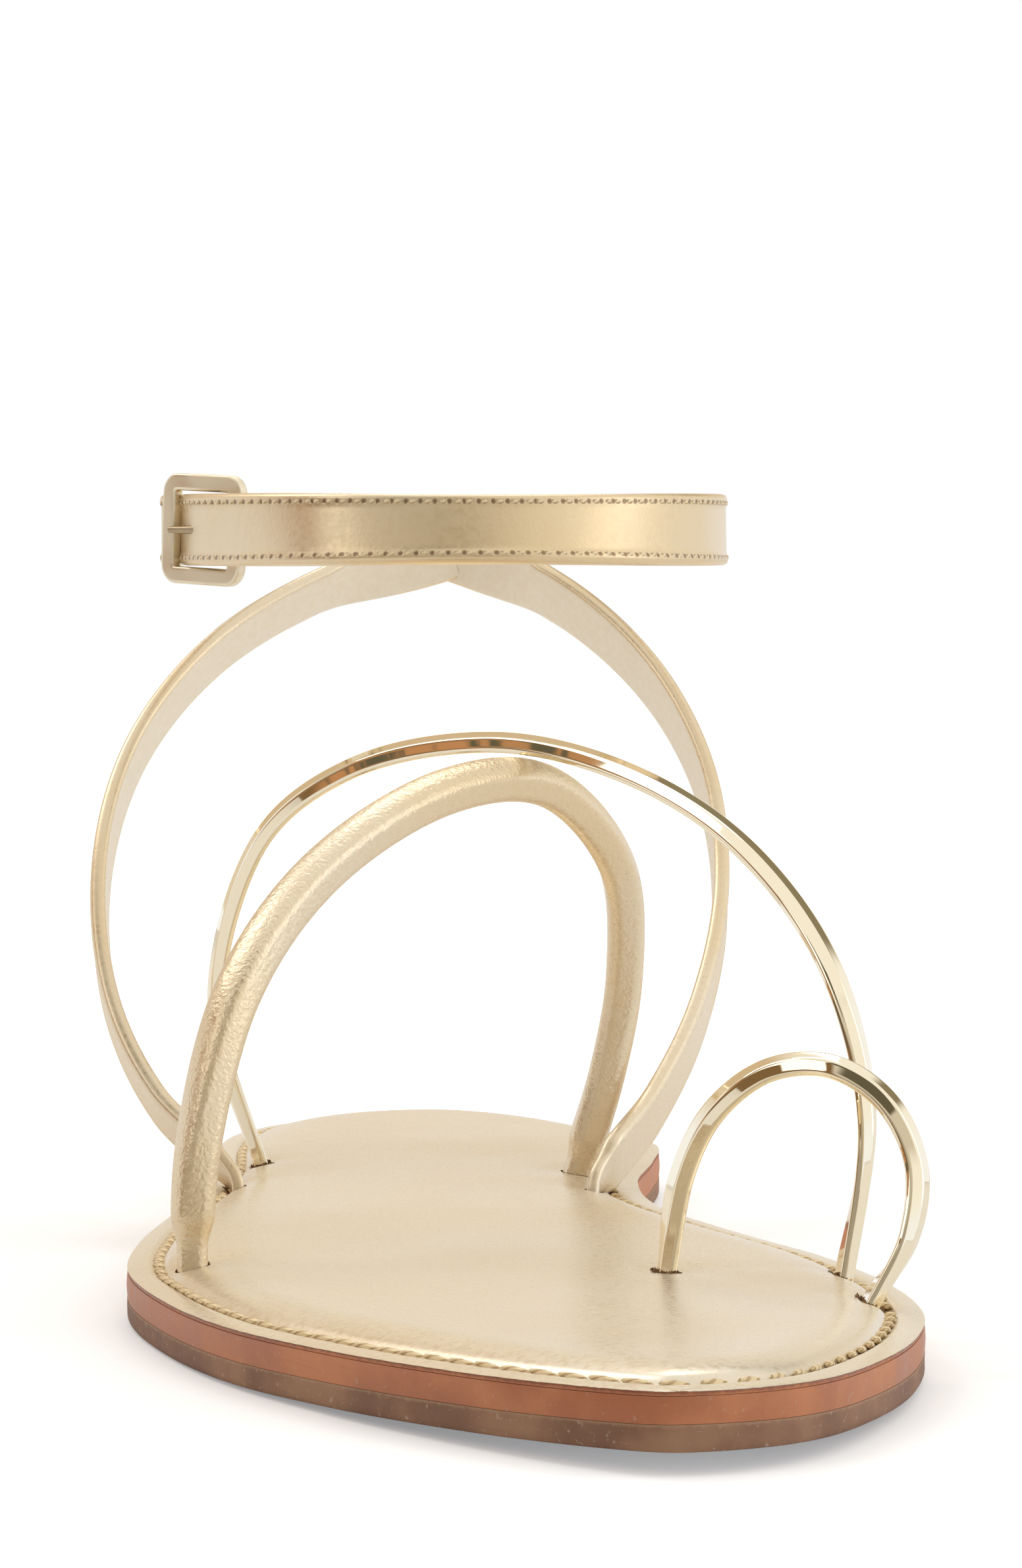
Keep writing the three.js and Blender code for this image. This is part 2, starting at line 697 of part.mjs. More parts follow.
addPiece('outsole', outsoleGeometry(), brownLeather);
addPiece('midsole', cutSlots(midsoleGeometry()), tanLeather);
addPiece('insole', cutSlots(insoleGeometry()), goldLeather);
addPiece('padded_strap', sweep(tubeSweep), goldLeather);
addPiece('instep_bar', sweep(barSweep), polishedMetal);
addPiece('toe_ring', sweep(ringSweep), polishedMetal);
addPiece('ankle_strap', ankleStrapGeometry(), goldLeather);
addPiece('buckle_frame', frameGeometry(), satinMetal);
addPiece('buckle_prong', prongGeometry(), satinMetal);

export default group;
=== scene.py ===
# %% [markdown]
# # A strappy flat sandal, piece by piece
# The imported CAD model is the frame: it gives the size and the place of every piece. This lesson
# dresses it with smooth, detailed pieces of the same sizes, with leather, thread and metal.

# %% Load the frame
import math
import random

import bmesh
import bpy
from mathutils import Matrix, Vector, kdtree, noise


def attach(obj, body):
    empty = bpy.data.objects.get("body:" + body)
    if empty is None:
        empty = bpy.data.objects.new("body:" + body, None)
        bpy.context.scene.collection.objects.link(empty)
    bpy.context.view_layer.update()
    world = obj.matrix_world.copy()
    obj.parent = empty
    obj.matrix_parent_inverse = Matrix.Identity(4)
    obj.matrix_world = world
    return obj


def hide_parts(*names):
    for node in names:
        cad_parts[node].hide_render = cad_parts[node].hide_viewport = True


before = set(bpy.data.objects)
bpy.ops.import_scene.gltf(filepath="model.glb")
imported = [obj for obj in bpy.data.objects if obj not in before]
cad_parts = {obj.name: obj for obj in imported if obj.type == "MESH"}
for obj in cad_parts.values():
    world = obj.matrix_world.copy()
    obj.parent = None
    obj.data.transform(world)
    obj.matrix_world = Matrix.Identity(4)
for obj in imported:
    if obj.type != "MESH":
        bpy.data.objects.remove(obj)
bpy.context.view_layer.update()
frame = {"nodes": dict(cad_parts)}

print("nodes", sorted(frame["nodes"]))

# %% [markdown]
# The pieces are modelled in millimetres, because that is how a shoemaker measures them, and each
# finished mesh is scaled to metres in one place. These are the sizes that the CAD model has.

# %% Sizes in millimetres
MM = 0.001
SOLE_LENGTH = 248.0
BALL_WIDTH = 84.0
OUTSOLE_THICKNESS = 2.7
MIDSOLE_HEEL_THICKNESS = 2.8
MIDSOLE_TOE_THICKNESS = 2.2
INSOLE_THICKNESS = 0.9
LAYER_GAP = 0.3
TOE_SPRING = 2.4
SPRING_START = 0.65
PADDING_RISE = 1.5
MIDSOLE_BASE = OUTSOLE_THICKNESS + LAYER_GAP
TUBE_WIDTH = 5.8
TUBE_THICKNESS = 4.8
TUBE_HEIGHT = 53.0
METAL_WIDTH = 4.0
METAL_THICKNESS = 1.8
BAR_HEIGHT = 57.5
RING_HEIGHT = 24.6
BAND_WIDTH = 9.6
REAR_BAND_WIDTH = 9.0
BAND_THICKNESS = 2.2
ANKLE_HEIGHT = 91.0
ANKLE_WIDTH = 71.6
ANKLE_DEPTH = 79.0
ANKLE_LEAN = 26.0
CROSSING_DROP = 2.7
CROSSING_TWIST = 6.0
LATERAL_LEAN = 33.0
MEDIAL_LEAN = 48.0
REAR_SWING = -7.0
NECK_LENGTH = 5.6
NECK_RISE = 3.5
TUBE_NECK = 0.72
REAR_NECK = 0.75
INSTEP_TILT = 30.0
FOOT_SLOPE = 0.5
REAR_FOOT_SLOPE = 0.15
FOOT_LIFT = 1.0
FIT_GAP = 0.3

# %% [markdown]
# The photograph was taken from in front of the toes, a little to the outer side, with the camera
# level with the ankle strap. A long lens keeps the strap and the toes at nearly the same scale.
# The picture is taken to be 1552 by 2380 pixels, and the focal length is in those pixels.

# %% Camera
PHOTO_HEIGHT = 2380
FOCAL_PIXELS = 7700
SENSOR_HEIGHT = 36.0
CAMERA_PLACE = Vector((-84.5, -600.95, 91.0))
CAMERA_HEADING = 7.74
CAMERA_PITCH = 2.87

camera_data = bpy.data.cameras.new("camera")
camera_data.sensor_fit = "VERTICAL"
camera_data.sensor_height = SENSOR_HEIGHT
camera_data.lens = FOCAL_PIXELS / PHOTO_HEIGHT * SENSOR_HEIGHT
camera_data.clip_start = 0.01
camera = bpy.data.objects.new("camera", camera_data)
camera.location = CAMERA_PLACE * MM
camera.rotation_euler = (math.radians(90 - CAMERA_PITCH), 0, math.radians(-CAMERA_HEADING))
bpy.context.scene.collection.objects.link(camera)
bpy.context.scene.camera = camera
print("lens", round(camera_data.lens, 2), "mm")

# %% [markdown]
# Shiny leather and polished metal show the room more than their own colour, so the room is drawn with
# care: white all round, with a few panels. A window between dark walls gives the metal its white and
# dark streaks, wood beside it gives the orange ones, and the camera's side is dim. The camera itself
# sees plain white behind the shoe.

# %% Small helpers for node trees
def put(tree, kind, settings=None, **inputs):
    made = tree.nodes.new(kind)
    for name, value in (settings or {}).items():
        setattr(made, name, value)
    for name, value in inputs.items():
        feed(tree, made.inputs[name.replace("_", " ")], value)
    return made


def feed(tree, socket, value):
    if isinstance(value, bpy.types.NodeSocket):
        tree.links.new(value, socket)
    else:
        socket.default_value = value


def maths(tree, operation, *values):
    made = put(tree, "ShaderNodeMath", {"operation": operation})
    for socket, value in zip(made.inputs, values):
        feed(tree, socket, value)
    return made.outputs[0]


def plus(tree, first, second):
    return maths(tree, "ADD", first, second)


def minus(tree, first, second):
    return maths(tree, "SUBTRACT", first, second)


def times(tree, first, second):
    return maths(tree, "MULTIPLY", first, second)


def blended(tree, factor, first, second):
    made = put(tree, "ShaderNodeMix", {"data_type": "RGBA"})
    for index, value in zip((0, 6, 7), (factor, first, second)):
        feed(tree, made.inputs[index], value)
    return made.outputs[2]


def eased(tree, value, low, high, to_low=0.0, to_high=1.0):
    made = put(tree, "ShaderNodeMapRange", {"interpolation_type": "SMOOTHSTEP"})
    for socket, part in zip(made.inputs, (value, low, high, to_low, to_high)):
        feed(tree, socket, part)
    return made.outputs[0]


def own_place(tree):
    return put(tree, "ShaderNodeTexCoord").outputs["Object"]


def clouds(tree, vector, scale, detail, **more):
    return put(tree, "ShaderNodeTexNoise", Vector=vector, Scale=scale, Detail=detail, **more).outputs["Fac"]


# %% The studio
# Each panel: degrees from straight ahead of the toes, -Y, towards the shoe's -X side (low, high),
# degrees up (low, high), softness of its edges in degrees, and colour. The angles run from the
# room's seam once round, so that no panel is split.
HORIZON_COLOUR = (0.92, 0.95, 1.02, 1)
CEILING_COLOUR = (0.92, 0.89, 0.83, 1)
DARK = (0.12, 0.105, 0.07, 1)
PANELS = {
    "shelf": ((138, 194), (8, 40), 10, (0.62, 0.48, 0.32, 1)),
    "low_shelf": ((176, 226), (8, 25), 8, (0.78, 0.69, 0.54, 1)),
    "beam": ((190, 232), (24, 37), 4, (0.25, 0.21, 0.13, 1)),
    "camera_side": ((-28, 58), (-10, 57), 8, (0.63, 0.575, 0.485, 1)),
    "camera_low": ((-14, 50), (0, 36), 8, (0.36, 0.32, 0.26, 1)),
    "left_wall": ((54, 88), (-12, 60), 5, (0.2, 0.12, 0.055, 1)),
    "upper_wall": ((-6, 62), (51, 69), 3, DARK),
    "wood": ((84, 103), (-4, 32), 3, (0.5, 0.25, 0.115, 1)),
    "high_wood": ((88, 124), (26, 50), 3, (0.46, 0.24, 0.11, 1)),
    "window": ((60, 88), (25, 56), 1.5, (1.4, 1.37, 1.32, 1)),
}
ROOM_STRENGTH = 1.08
SEAM_OF_ROOM = -60.0
CEILING_STARTS = 6.0
CEILING_FULL = 30.0
BOARDS_PER_DEGREE = (0.06, 0.3)

world = bpy.data.worlds.new("studio")
world.use_nodes = True
bpy.context.scene.world = world
sky = world.node_tree
sky.nodes.clear()
WHITE = (1, 1, 1, 1)
looking = put(sky, "ShaderNodeTexCoord").outputs["Generated"]
direction = put(sky, "ShaderNodeSeparateXYZ", Vector=looking)
ahead = times(sky, direction.outputs["Y"], -1.0)
leftward = times(sky, direction.outputs["X"], -1.0)
turned = maths(sky, "DEGREES", maths(sky, "ARCTAN2", leftward, ahead))
around = plus(sky, turned, times(sky, maths(sky, "LESS_THAN", turned, SEAM_OF_ROOM), 360.0))
raised = maths(sky, "DEGREES", maths(sky, "ARCSINE", direction.outputs["Z"]))


def between(value, low, high, soft):
    rise = eased(sky, value, low - soft / 2, low + soft / 2)
    return times(sky, rise, eased(sky, value, high + soft / 2, high - soft / 2))


room = blended(sky, eased(sky, raised, CEILING_STARTS, CEILING_FULL), HORIZON_COLOUR, CEILING_COLOUR)
boards = put(
    sky, "ShaderNodeCombineXYZ",
    X=times(sky, around, BOARDS_PER_DEGREE[0]), Y=times(sky, raised, BOARDS_PER_DEGREE[1]))
board_noise = clouds(sky, boards.outputs[0], 1.0, 3.0)
for panel_name, (turn_span, rise_span, soft, colour) in PANELS.items():
    mask = times(sky, between(around, *turn_span, soft), between(raised, *rise_span, soft))
    # Wood shows its boards as dark and light streaks.
    if "wood" in panel_name:
        colour = blended(sky, eased(sky, board_noise, 0.44, 0.56), DARK, colour)
    room = blended(sky, mask, room, colour)
lit_room = put(sky, "ShaderNodeBackground", Color=room, Strength=ROOM_STRENGTH)
white = put(sky, "ShaderNodeBackground", Color=WHITE, Strength=1.0)
seen = put(sky, "ShaderNodeLightPath").outputs["Is Camera Ray"]
chosen = put(sky, "ShaderNodeMixShader")
feed(sky, chosen.inputs[0], seen)
feed(sky, chosen.inputs[1], lit_room.outputs[0])
feed(sky, chosen.inputs[2], white.outputs[0])
put(sky, "ShaderNodeOutputWorld", Surface=chosen.outputs[0])


def softbox(name, place, aim, size, watts):
    light = bpy.data.lights.new(name, "AREA")
    light.shape = "RECTANGLE"
    light.size, light.size_y = size
    light.energy = watts
    lamp = bpy.data.objects.new(name, light)
    lamp.location = place
    lamp.rotation_euler = (Vector(aim) - Vector(place)).to_track_quat("-Z", "Y").to_euler()
    bpy.context.scene.collection.objects.link(lamp)


softbox("key_light", (0.08, 0.55, 0.72), (0, 0, 0.03), (0.34, 0.2), 0.7)
softbox("left_light", (-0.62, 0.52, 0.95), (0, 0, 0.04), (0.4, 0.6), 1.7)
softbox("right_light", (0.9, -0.2, 0.5), (0, 0, 0.04), (0.35, 0.8), 0.8)

bpy.context.scene.view_settings.view_transform = "Standard"
bpy.context.scene.view_settings.look = "None"

# %% [markdown]
# The floor is white paper. A retoucher has brightened it in the photograph, so it glows a little,
# but only towards the camera: the shoe is lit by the paper's own white.

# %% Floor
FLOOR_SIZE = 8.0
GLOW_STARTS = 0.09
GLOW_FULL = 0.2
NEAR_GLOW = 0.28
FAR_GLOW = 0.95
floor_mesh = bpy.data.meshes.new("floor")
floor_bm = bmesh.new()
bmesh.ops.create_grid(floor_bm, x_segments=2, y_segments=2, size=FLOOR_SIZE / 2)
floor_bm.to_mesh(floor_mesh)
floor_bm.free()
floor_paint = bpy.data.materials.new("floor_paint")
floor_paint.use_nodes = True
paper = floor_paint.node_tree
floor_shader = paper.nodes["Principled BSDF"]
floor_shader.inputs["Base Color"].default_value = (0.88, 0.885, 0.9, 1)
floor_shader.inputs["Roughness"].default_value = 0.7
floor_shader.inputs["Specular IOR Level"].default_value = 0.1
floor_shader.inputs["Emission Color"].default_value = (0.94, 0.97, 1, 1)
away = put(paper, "ShaderNodeVectorMath", {"operation": "LENGTH"})
feed(paper, away.inputs[0], own_place(paper))
glow = eased(paper, away.outputs["Value"], GLOW_STARTS, GLOW_FULL, NEAR_GLOW, FAR_GLOW)
camera_ray = put(paper, "ShaderNodeLightPath").outputs["Is Camera Ray"]
feed(paper, floor_shader.inputs["Emission Strength"], times(paper, camera_ray, glow))
floor_mesh.materials.append(floor_paint)
floor = bpy.data.objects.new("floor", floor_mesh)
bpy.context.scene.collection.objects.link(floor)

# %% [markdown]
# ## Materials
# Everything on this shoe is either gold-coated leather, cut leather edge, thread or metal. Effects
# that several of them share, such as grain, are node groups: they give a height or a tone, and each
# material adds its own shader.

# %% A node group with named number sockets
def new_group(name, inputs, outputs):
    tree = bpy.data.node_groups.new(name, "ShaderNodeTree")
    for socket, value in inputs.items():
        made = tree.interface.new_socket(name=socket, in_out="INPUT", socket_type="NodeSocketFloat")
        made.default_value = value
    for socket in outputs:
        tree.interface.new_socket(name=socket, in_out="OUTPUT", socket_type="NodeSocketFloat")
    return tree, tree.nodes.new("NodeGroupInput").outputs, tree.nodes.new("NodeGroupOutput").inputs


def use_group(tree, group, **inputs):
    made = tree.nodes.new("ShaderNodeGroup")
    made.node_tree = group
    for name, value in inputs.items():
        feed(tree, made.inputs[name.replace("_", " ")], value)
    return made.outputs


def attribute(tree, name):
    return put(tree, "ShaderNodeAttribute", {"attribute_name": name}).outputs["Fac"]


# %% Leather grain: small swellings pulled about by a slower noise, with creases over them
# Scales are shares of the cells' own, and the pull is in cells.
DRIFT_SCALE = 0.45
DRIFT_PULL = 6.0
WRINKLE_SCALE = 0.6
CREASE_WIDTH = 0.14
BUMP_SHARE = 0.6


def make_grain():
    tree, given, result = new_group(
        "leather_grain",
        {"Cell Size": 0.5, "Crease": 0.0, "Stretch": 0.14},
        ("Height", "Tone"),
    )
    place = own_place(tree)
    per_metre = maths(tree, "DIVIDE", 1000.0, given["Cell Size"])
    slower = times(tree, per_metre, DRIFT_SCALE)
    drift = put(tree, "ShaderNodeTexNoise", Vector=place, Scale=slower, Detail=2.0)
    pull = put(tree, "ShaderNodeVectorMath", {"operation": "SCALE"})
    feed(tree, pull.inputs[0], drift.outputs["Color"])
    feed(tree, pull.inputs["Scale"], maths(tree, "DIVIDE", times(tree, given["Stretch"], DRIFT_PULL), per_metre))
    moved = put(tree, "ShaderNodeVectorMath", {"operation": "ADD"})
    feed(tree, moved.inputs[0], place)
    feed(tree, moved.inputs[1], pull.outputs[0])
    bumps = eased(tree, clouds(tree, moved.outputs[0], per_metre, 1.0), 0.25, 0.75)
    wrinkle = clouds(tree, moved.outputs[0], times(tree, per_metre, WRINKLE_SCALE), 4.0)
    crease = maths(tree, "ABSOLUTE", minus(tree, wrinkle, 0.5))
    creased = times(tree, eased(tree, crease, 0.0, CREASE_WIDTH), given["Crease"])
    feed(tree, result["Height"], plus(tree, times(tree, bumps, BUMP_SHARE), creased))
    feed(tree, result["Tone"], wrinkle)
    return tree


grain = make_grain()


# %% Sewn rows: needle holes at an even pitch along two rows, in the strap's own coordinates
STITCH_PITCH = 1.9
UPPER_ROW = 3.75
LOWER_ROW = 3.55
HOLE_RADIUS = 0.46


def make_needle_row():
    tree, given, result = new_group(
        "needle_row",
        {"Pitch": STITCH_PITCH, "Row": UPPER_ROW, "Low Row": LOWER_ROW, "Hole": HOLE_RADIUS},
        ("Holes", "Channel"),
    )
    run = attribute(tree, "run")
    across = attribute(tree, "across")
    face = eased(tree, attribute(tree, "depth"), 0.0, 0.4)
    share = maths(tree, "FRACT", maths(tree, "DIVIDE", run, given["Pitch"]))
    along = times(tree, minus(tree, share, 0.5), given["Pitch"])
    upper = minus(tree, across, given["Row"])
    lower = plus(tree, across, given["Low Row"])
    nearest = maths(tree, "MINIMUM", maths(tree, "ABSOLUTE", upper), maths(tree, "ABSOLUTE", lower))
    squares = [maths(tree, "POWER", reach, 2.0) for reach in (nearest, along)]
    far = maths(tree, "SQRT", plus(tree, *squares))
    holes = eased(tree, far, given["Hole"], times(tree, given["Hole"], 0.35))
    channel = eased(tree, nearest, 0.55, 0.1)
    feed(tree, result["Holes"], times(tree, holes, face))
    feed(tree, result["Channel"], times(tree, channel, face))
    return tree


needle_row = make_needle_row()


# %% Shader starter
def new_material(name, **values):
    made = bpy.data.materials.new(name)
    made.use_nodes = True
    shader = made.node_tree.nodes["Principled BSDF"]
    for socket, value in values.items():
        feed(made.node_tree, shader.inputs[socket.replace("_", " ")], value)
    return made, made.node_tree, shader


def emboss(tree, shader, height, strength, distance):
    relief = put(tree, "ShaderNodeBump", Height=height, Strength=strength, Distance=distance * MM)
    tree.links.new(relief.outputs["Normal"], shader.inputs["Normal"])


# %% Gold leather for the straps and the footbed
GOLD = (0.80, 0.64, 0.405, 1)
GOLD_WARM = (0.66, 0.44, 0.23, 1)
GOLD_PALE = (0.86, 0.785, 0.65, 1)
# Painted shade for the inside of the needle holes.
HOLE_SHADE = (0.2, 0.11, 0.055, 1)
HOLE_DEPTH = 5.0
CHANNEL_DEPTH = 0.8


def gold_leather(name, cell, crease, depth, roughness, metallic, pale=0.0, sewn=False):
    made, tree, shader = new_material(name, Metallic=metallic, Roughness=roughness)
    skin = use_group(tree, grain, Cell_Size=cell, Crease=crease)
    place = own_place(tree)
    cloud = clouds(tree, place, 30.0, 2.0)
    tone = blended(tree, eased(tree, cloud, 0.35, 0.7, pale, pale + 0.4), GOLD, GOLD_PALE)
    tone = blended(tree, eased(tree, skin["Tone"], 0.56, 0.38, 0.0, 0.1), tone, GOLD_WARM)
    height = skin["Height"]
    if sewn:
        row = use_group(tree, needle_row)
        # The needle holes are painted darker: painted shade inside the holes.
        tone = blended(tree, times(tree, row["Holes"], 0.8), tone, HOLE_SHADE)
        sunk = plus(tree, times(tree, row["Holes"], HOLE_DEPTH), times(tree, row["Channel"], CHANNEL_DEPTH))
        height = minus(tree, height, sunk)
    feed(tree, shader.inputs["Base Color"], tone)
    worn = eased(tree, skin["Tone"], 0.3, 0.7, roughness - 0.04, roughness + 0.06)
    feed(tree, shader.inputs["Roughness"], worn)
    emboss(tree, shader, height, 0.9, depth)
    return made


# The footbed's large pale share is partly painted sheen: its upward face is painted paler for the washed grazing
# light on it, over the leather's own cloudy tone.
footbed_leather = gold_leather("footbed_leather", 0.5, 0.0, 0.009, 0.3, 0.62, pale=0.7)
tube_leather = gold_leather("tube_leather", 0.55, 0.25, 0.07, 0.3, 0.72, pale=0.2)
strap_leather = gold_leather("strap_leather", 0.5, 0.0, 0.012, 0.33, 0.72, sewn=True)
rear_leather = gold_leather("rear_leather", 0.5, 0.0, 0.012, 0.3, 0.68, pale=0.2)


# %% Lining: the pale, duller inner face of the straps
def lining_leather():
    made, tree, shader = new_material("lining_leather", Metallic=0.1, Roughness=0.5)
    skin = use_group(tree, grain, Cell_Size=0.6, Crease=0.2)
    tone = blended(tree, eased(tree, skin["Tone"], 0.35, 0.65), (0.9, 0.82, 0.68, 1), (0.93, 0.86, 0.74, 1))
    feed(tree, shader.inputs["Base Color"], tone)
    emboss(tree, shader, skin["Height"], 0.5, 0.015)
    return made


lining = lining_leather()


# %% [markdown]
# The sole's side is cut leather. The knife leaves fine lines along it, the burnishing wheel darkens
# the upper corner, and the lower layer keeps more of its pale fibres. Each layer's mesh carries a
# value called level, from 0 at its lower edge to 1 at its upper edge.

# %% Cut edges of the sole
FIBRE_COLOUR = (0.62, 0.5, 0.4, 1)


def cut_edge(name, light, dark, corner, fibre, roughness, burnish):
    made, tree, shader = new_material(name, Roughness=roughness)
    place = own_place(tree)
    lines = put(tree, "ShaderNodeMapping", Vector=place, Scale=(60.0, 60.0, 1400.0))
    streak = clouds(tree, lines.outputs[0], 1.0, 5.0, Roughness=0.6)
    cloud = clouds(tree, place, 95.0, 4.0)
    specks = clouds(tree, place, 1500.0, 3.0)
    level = attribute(tree, "level")
    tone = blended(tree, eased(tree, cloud, 0.36, 0.66), dark, light)
    tone = blended(tree, eased(tree, streak, 0.55, 0.72, 0.0, 0.4), tone, dark)
    tone = blended(tree, eased(tree, specks, 0.62, 0.74, 0.0, fibre), tone, FIBRE_COLOUR)
    ragged = plus(tree, level, times(tree, minus(tree, specks, 0.5), 0.25))
    tone = blended(tree, eased(tree, ragged, 0.86, 0.99, 0.0, burnish), tone, corner)
    feed(tree, shader.inputs["Base Color"], tone)
    feed(tree, shader.inputs["Roughness"], eased(tree, cloud, 0.3, 0.7, roughness - 0.1, roughness + 0.12))
    height = plus(tree, streak, times(tree, specks, 0.8))
    emboss(tree, shader, height, 0.6, 0.06)
    return made


tan_edge = cut_edge(
    "tan_edge", (0.58, 0.225, 0.1, 1), (0.43, 0.145, 0.06, 1), (0.22, 0.075, 0.035, 1), 0.25, 0.45, 0.8)
brown_edge = cut_edge(
    "brown_edge", (0.37, 0.21, 0.13, 1), (0.22, 0.11, 0.066, 1), (0.45, 0.28, 0.17, 1), 0.5, 0.7, 0.55)


# %% Torn leather in the slots
def torn_leather():
    made, tree, shader = new_material("torn_leather", Roughness=0.85)
    place = own_place(tree)
    fibre = clouds(tree, place, 2600.0, 4.0)
    tone = blended(tree, fibre, (0.1, 0.05, 0.025, 1), (0.42, 0.25, 0.11, 1))
    feed(tree, shader.inputs["Base Color"], tone)
    emboss(tree, shader, fibre, 1.0, 0.15)
    return made


torn = torn_leather()


# %% Thread: a twisted ply, read from each stitch's own UV map
def thread_material(name, light, dark, turns):
    made, tree, shader = new_material(name, Roughness=0.45, Metallic=0.25)
    around = put(tree, "ShaderNodeUVMap", {"uv_map": "UVMap"}).outputs[0]
    place = put(tree, "ShaderNodeSeparateXYZ", Vector=around)
    twist = plus(tree, place.outputs["X"], times(tree, place.outputs["Y"], turns))
    ply = maths(tree, "ABSOLUTE", maths(tree, "SINE", times(tree, twist, 2 * math.pi)))
    # The grooves between the plies are painted darker: painted shade between the twisted strands, on the same
    # mask as the bump.
    feed(tree, shader.inputs["Base Color"], blended(tree, eased(tree, ply, 0.1, 0.7), dark, light))
    emboss(tree, shader, eased(tree, ply, 0.0, 0.8), 0.9, 0.16)
    return made


seam_thread = thread_material("seam_thread", (0.84, 0.68, 0.42, 1), (0.6, 0.42, 0.22, 1), 1.5)
fine_thread = thread_material("fine_thread", (0.86, 0.72, 0.48, 1), (0.66, 0.5, 0.3, 1), 1.0)


# %% Metal: polished bands and the satin buckle
def metal(name, colour, roughness, hairline):
    made, tree, shader = new_material(name, Metallic=1.0, Roughness=roughness, Base_Color=colour)
    place = own_place(tree)
    rub = clouds(tree, place, 160.0, 2.0)
    feed(tree, shader.inputs["Roughness"], eased(tree, rub, 0.3, 0.75, roughness * 0.7, roughness * 1.5))
    emboss(tree, shader, rub, hairline, 0.01)
    return made


polished = metal("polished_metal", (0.93, 0.85, 0.67, 1), 0.04, 0.25)
satin = metal("satin_metal", (0.84, 0.76, 0.6, 1), 0.38, 0.6)
# The prong's darker satin is painted shade: it is the buckle's own metal, painted darker for the shadow it lies
# in inside the frame.
prong_shade_satin = metal("dark_satin_metal", (0.42, 0.33, 0.21, 1), 0.3, 0.6)

# %% [markdown]
# ## Curves and sweeps
# Each strap is a section pulled along a smooth curve. The curve runs through a short table of
# points, and the section keeps facing away from the foot. The frames are matrices whose X runs
# across the strap, Y out of its face and Z along it.

# %% Smooth curve through points, spaced evenly
def hermite(a, b, slope_a, slope_b, t):
    return (
        a * (2 * t**3 - 3 * t**2 + 1) + slope_a * (t**3 - 2 * t**2 + t)
        + b * (3 * t**2 - 2 * t**3) + slope_b * (t**3 - t**2)
    )


def smooth_curve(points, per_span=40):
    first = points[0] * 2 - points[1]
    last = points[-1] * 2 - points[-2]
    chain = [first] + list(points) + [last]
    dense = []
    for a, b, c, d in zip(chain, chain[1:], chain[2:], chain[3:]):
        before, here, after = [
            max((q - p).length_squared, 1e-8) ** 0.25 for p, q in ((a, b), (b, c), (c, d))]
        slope_b = ((b - a) / before - (c - a) / (before + here) + (c - b) / here) * here
        slope_c = ((c - b) / here - (d - b) / (here + after) + (d - c) / after) * here
        dense += [hermite(b, c, slope_b, slope_c, i / per_span) for i in range(per_span)]
    return dense + [points[-1].copy()]


def evenly(points, count, start=0.0, end=1.0):
    runs = [0.0]
    for a, b in zip(points, points[1:]):
        runs.append(runs[-1] + (b - a).length)
    spots = []
    k = 0
    for i in range(count + 1):
        want = runs[-1] * (start + (end - start) * i / count)
        while k < len(points) - 2 and runs[k + 1] < want:
            k += 1
        share = (want - runs[k]) / max(runs[k + 1] - runs[k], 1e-9)
        spots.append((points[k].lerp(points[k + 1], share), (points[k + 1] - points[k]).normalized(), want))
    return spots, runs[-1]


def ease(value):
    t = min(max(value, 0.0), 1.0)
    return t * t * (3 - 2 * t)


# %% Frames along a strap, with a girth that may change along it
def strap_frames(points, outward, count, girth=None, start=0.0, end=1.0):
    spots, length = evenly(points, count, start, end)
    frames = []
    for i, (spot, _, run) in enumerate(spots):
        before, after = spots[max(i - 1, 0)][0], spots[min(i + 1, count)][0]
        tangent = (after - before).normalized()
        face = outward(spot, tangent)
        face = (face - tangent * face.dot(tangent)).normalized()
        side = face.cross(tangent)
        wide, thick = girth(run, length) if girth else (1.0, 1.0)
        turn = Matrix((side * wide, face * thick, tangent)).transposed().to_4x4()
        frames.append((Matrix.Translation(spot) @ turn, run))
    return frames, length


# %% Pull a section along the frames
def sweep(bm, section, frames):
    layers = {name: bm.verts.layers.float.get(name) or bm.verts.layers.float.new(name)
              for name in ("run", "across", "depth")}
    ring = [bm.verts.new((x, y, 0.0)) for x, y in section]
    for vert, (x, y) in zip(ring, section):
        vert[layers["across"]] = x
        vert[layers["depth"]] = y
        vert[layers["run"]] = frames[0][1]
    edges = [bm.edges.new((a, b)) for a, b in zip(ring, ring[1:] + ring[:1])]
    bmesh.ops.transform(bm, matrix=frames[0][0], verts=ring)
    for (before, _), (after, run) in zip(frames, frames[1:]):
        made = bmesh.ops.extrude_edge_only(bm, edges=edges)["geom"]
        ring = [part for part in made if isinstance(part, bmesh.types.BMVert)]
        fresh = set(ring)
        edges = [part for part in made if isinstance(part, bmesh.types.BMEdge) and set(part.verts) <= fresh]
        bmesh.ops.transform(bm, matrix=after @ before.inverted(), verts=ring)
        for vert in ring:
            vert[layers["run"]] = run
    bmesh.ops.holes_fill(bm, edges=[edge for edge in bm.edges if edge.is_boundary], sides=0)


# %% Round the corners of a drawn section
# Two more points close to the ends of each straight side hold it flat when it is shaded smooth.
CORNER_STEPS = 5


def rounded_section(corners, radius, steps=CORNER_STEPS, hold=None):
    section = []
    count = len(corners)
    for i, corner in enumerate(corners):
        here = Vector(corner)
        before = Vector(corners[i - 1]) - here
        after = Vector(corners[(i + 1) % count]) - here
        reach = min(radius, before.length * 0.45, after.length * 0.45)
        start, end = here + before.normalized() * reach, here + after.normalized() * reach
        for k in range(steps + 1):
            t = k / steps
            section.append(tuple(start * (1 - t) ** 2 + here * (2 * t * (1 - t)) + end * t**2))
    if hold is None:
        return section
    held = []
    for i, (x, y) in enumerate(section):
        held.append((x, y))
        if i % (steps + 1) == steps:
            next_x, next_y = section[(i + 1) % len(section)]
            held += [(x + (next_x - x) * t, y + (next_y - y) * t) for t in (hold, 1 - hold)]
    return held
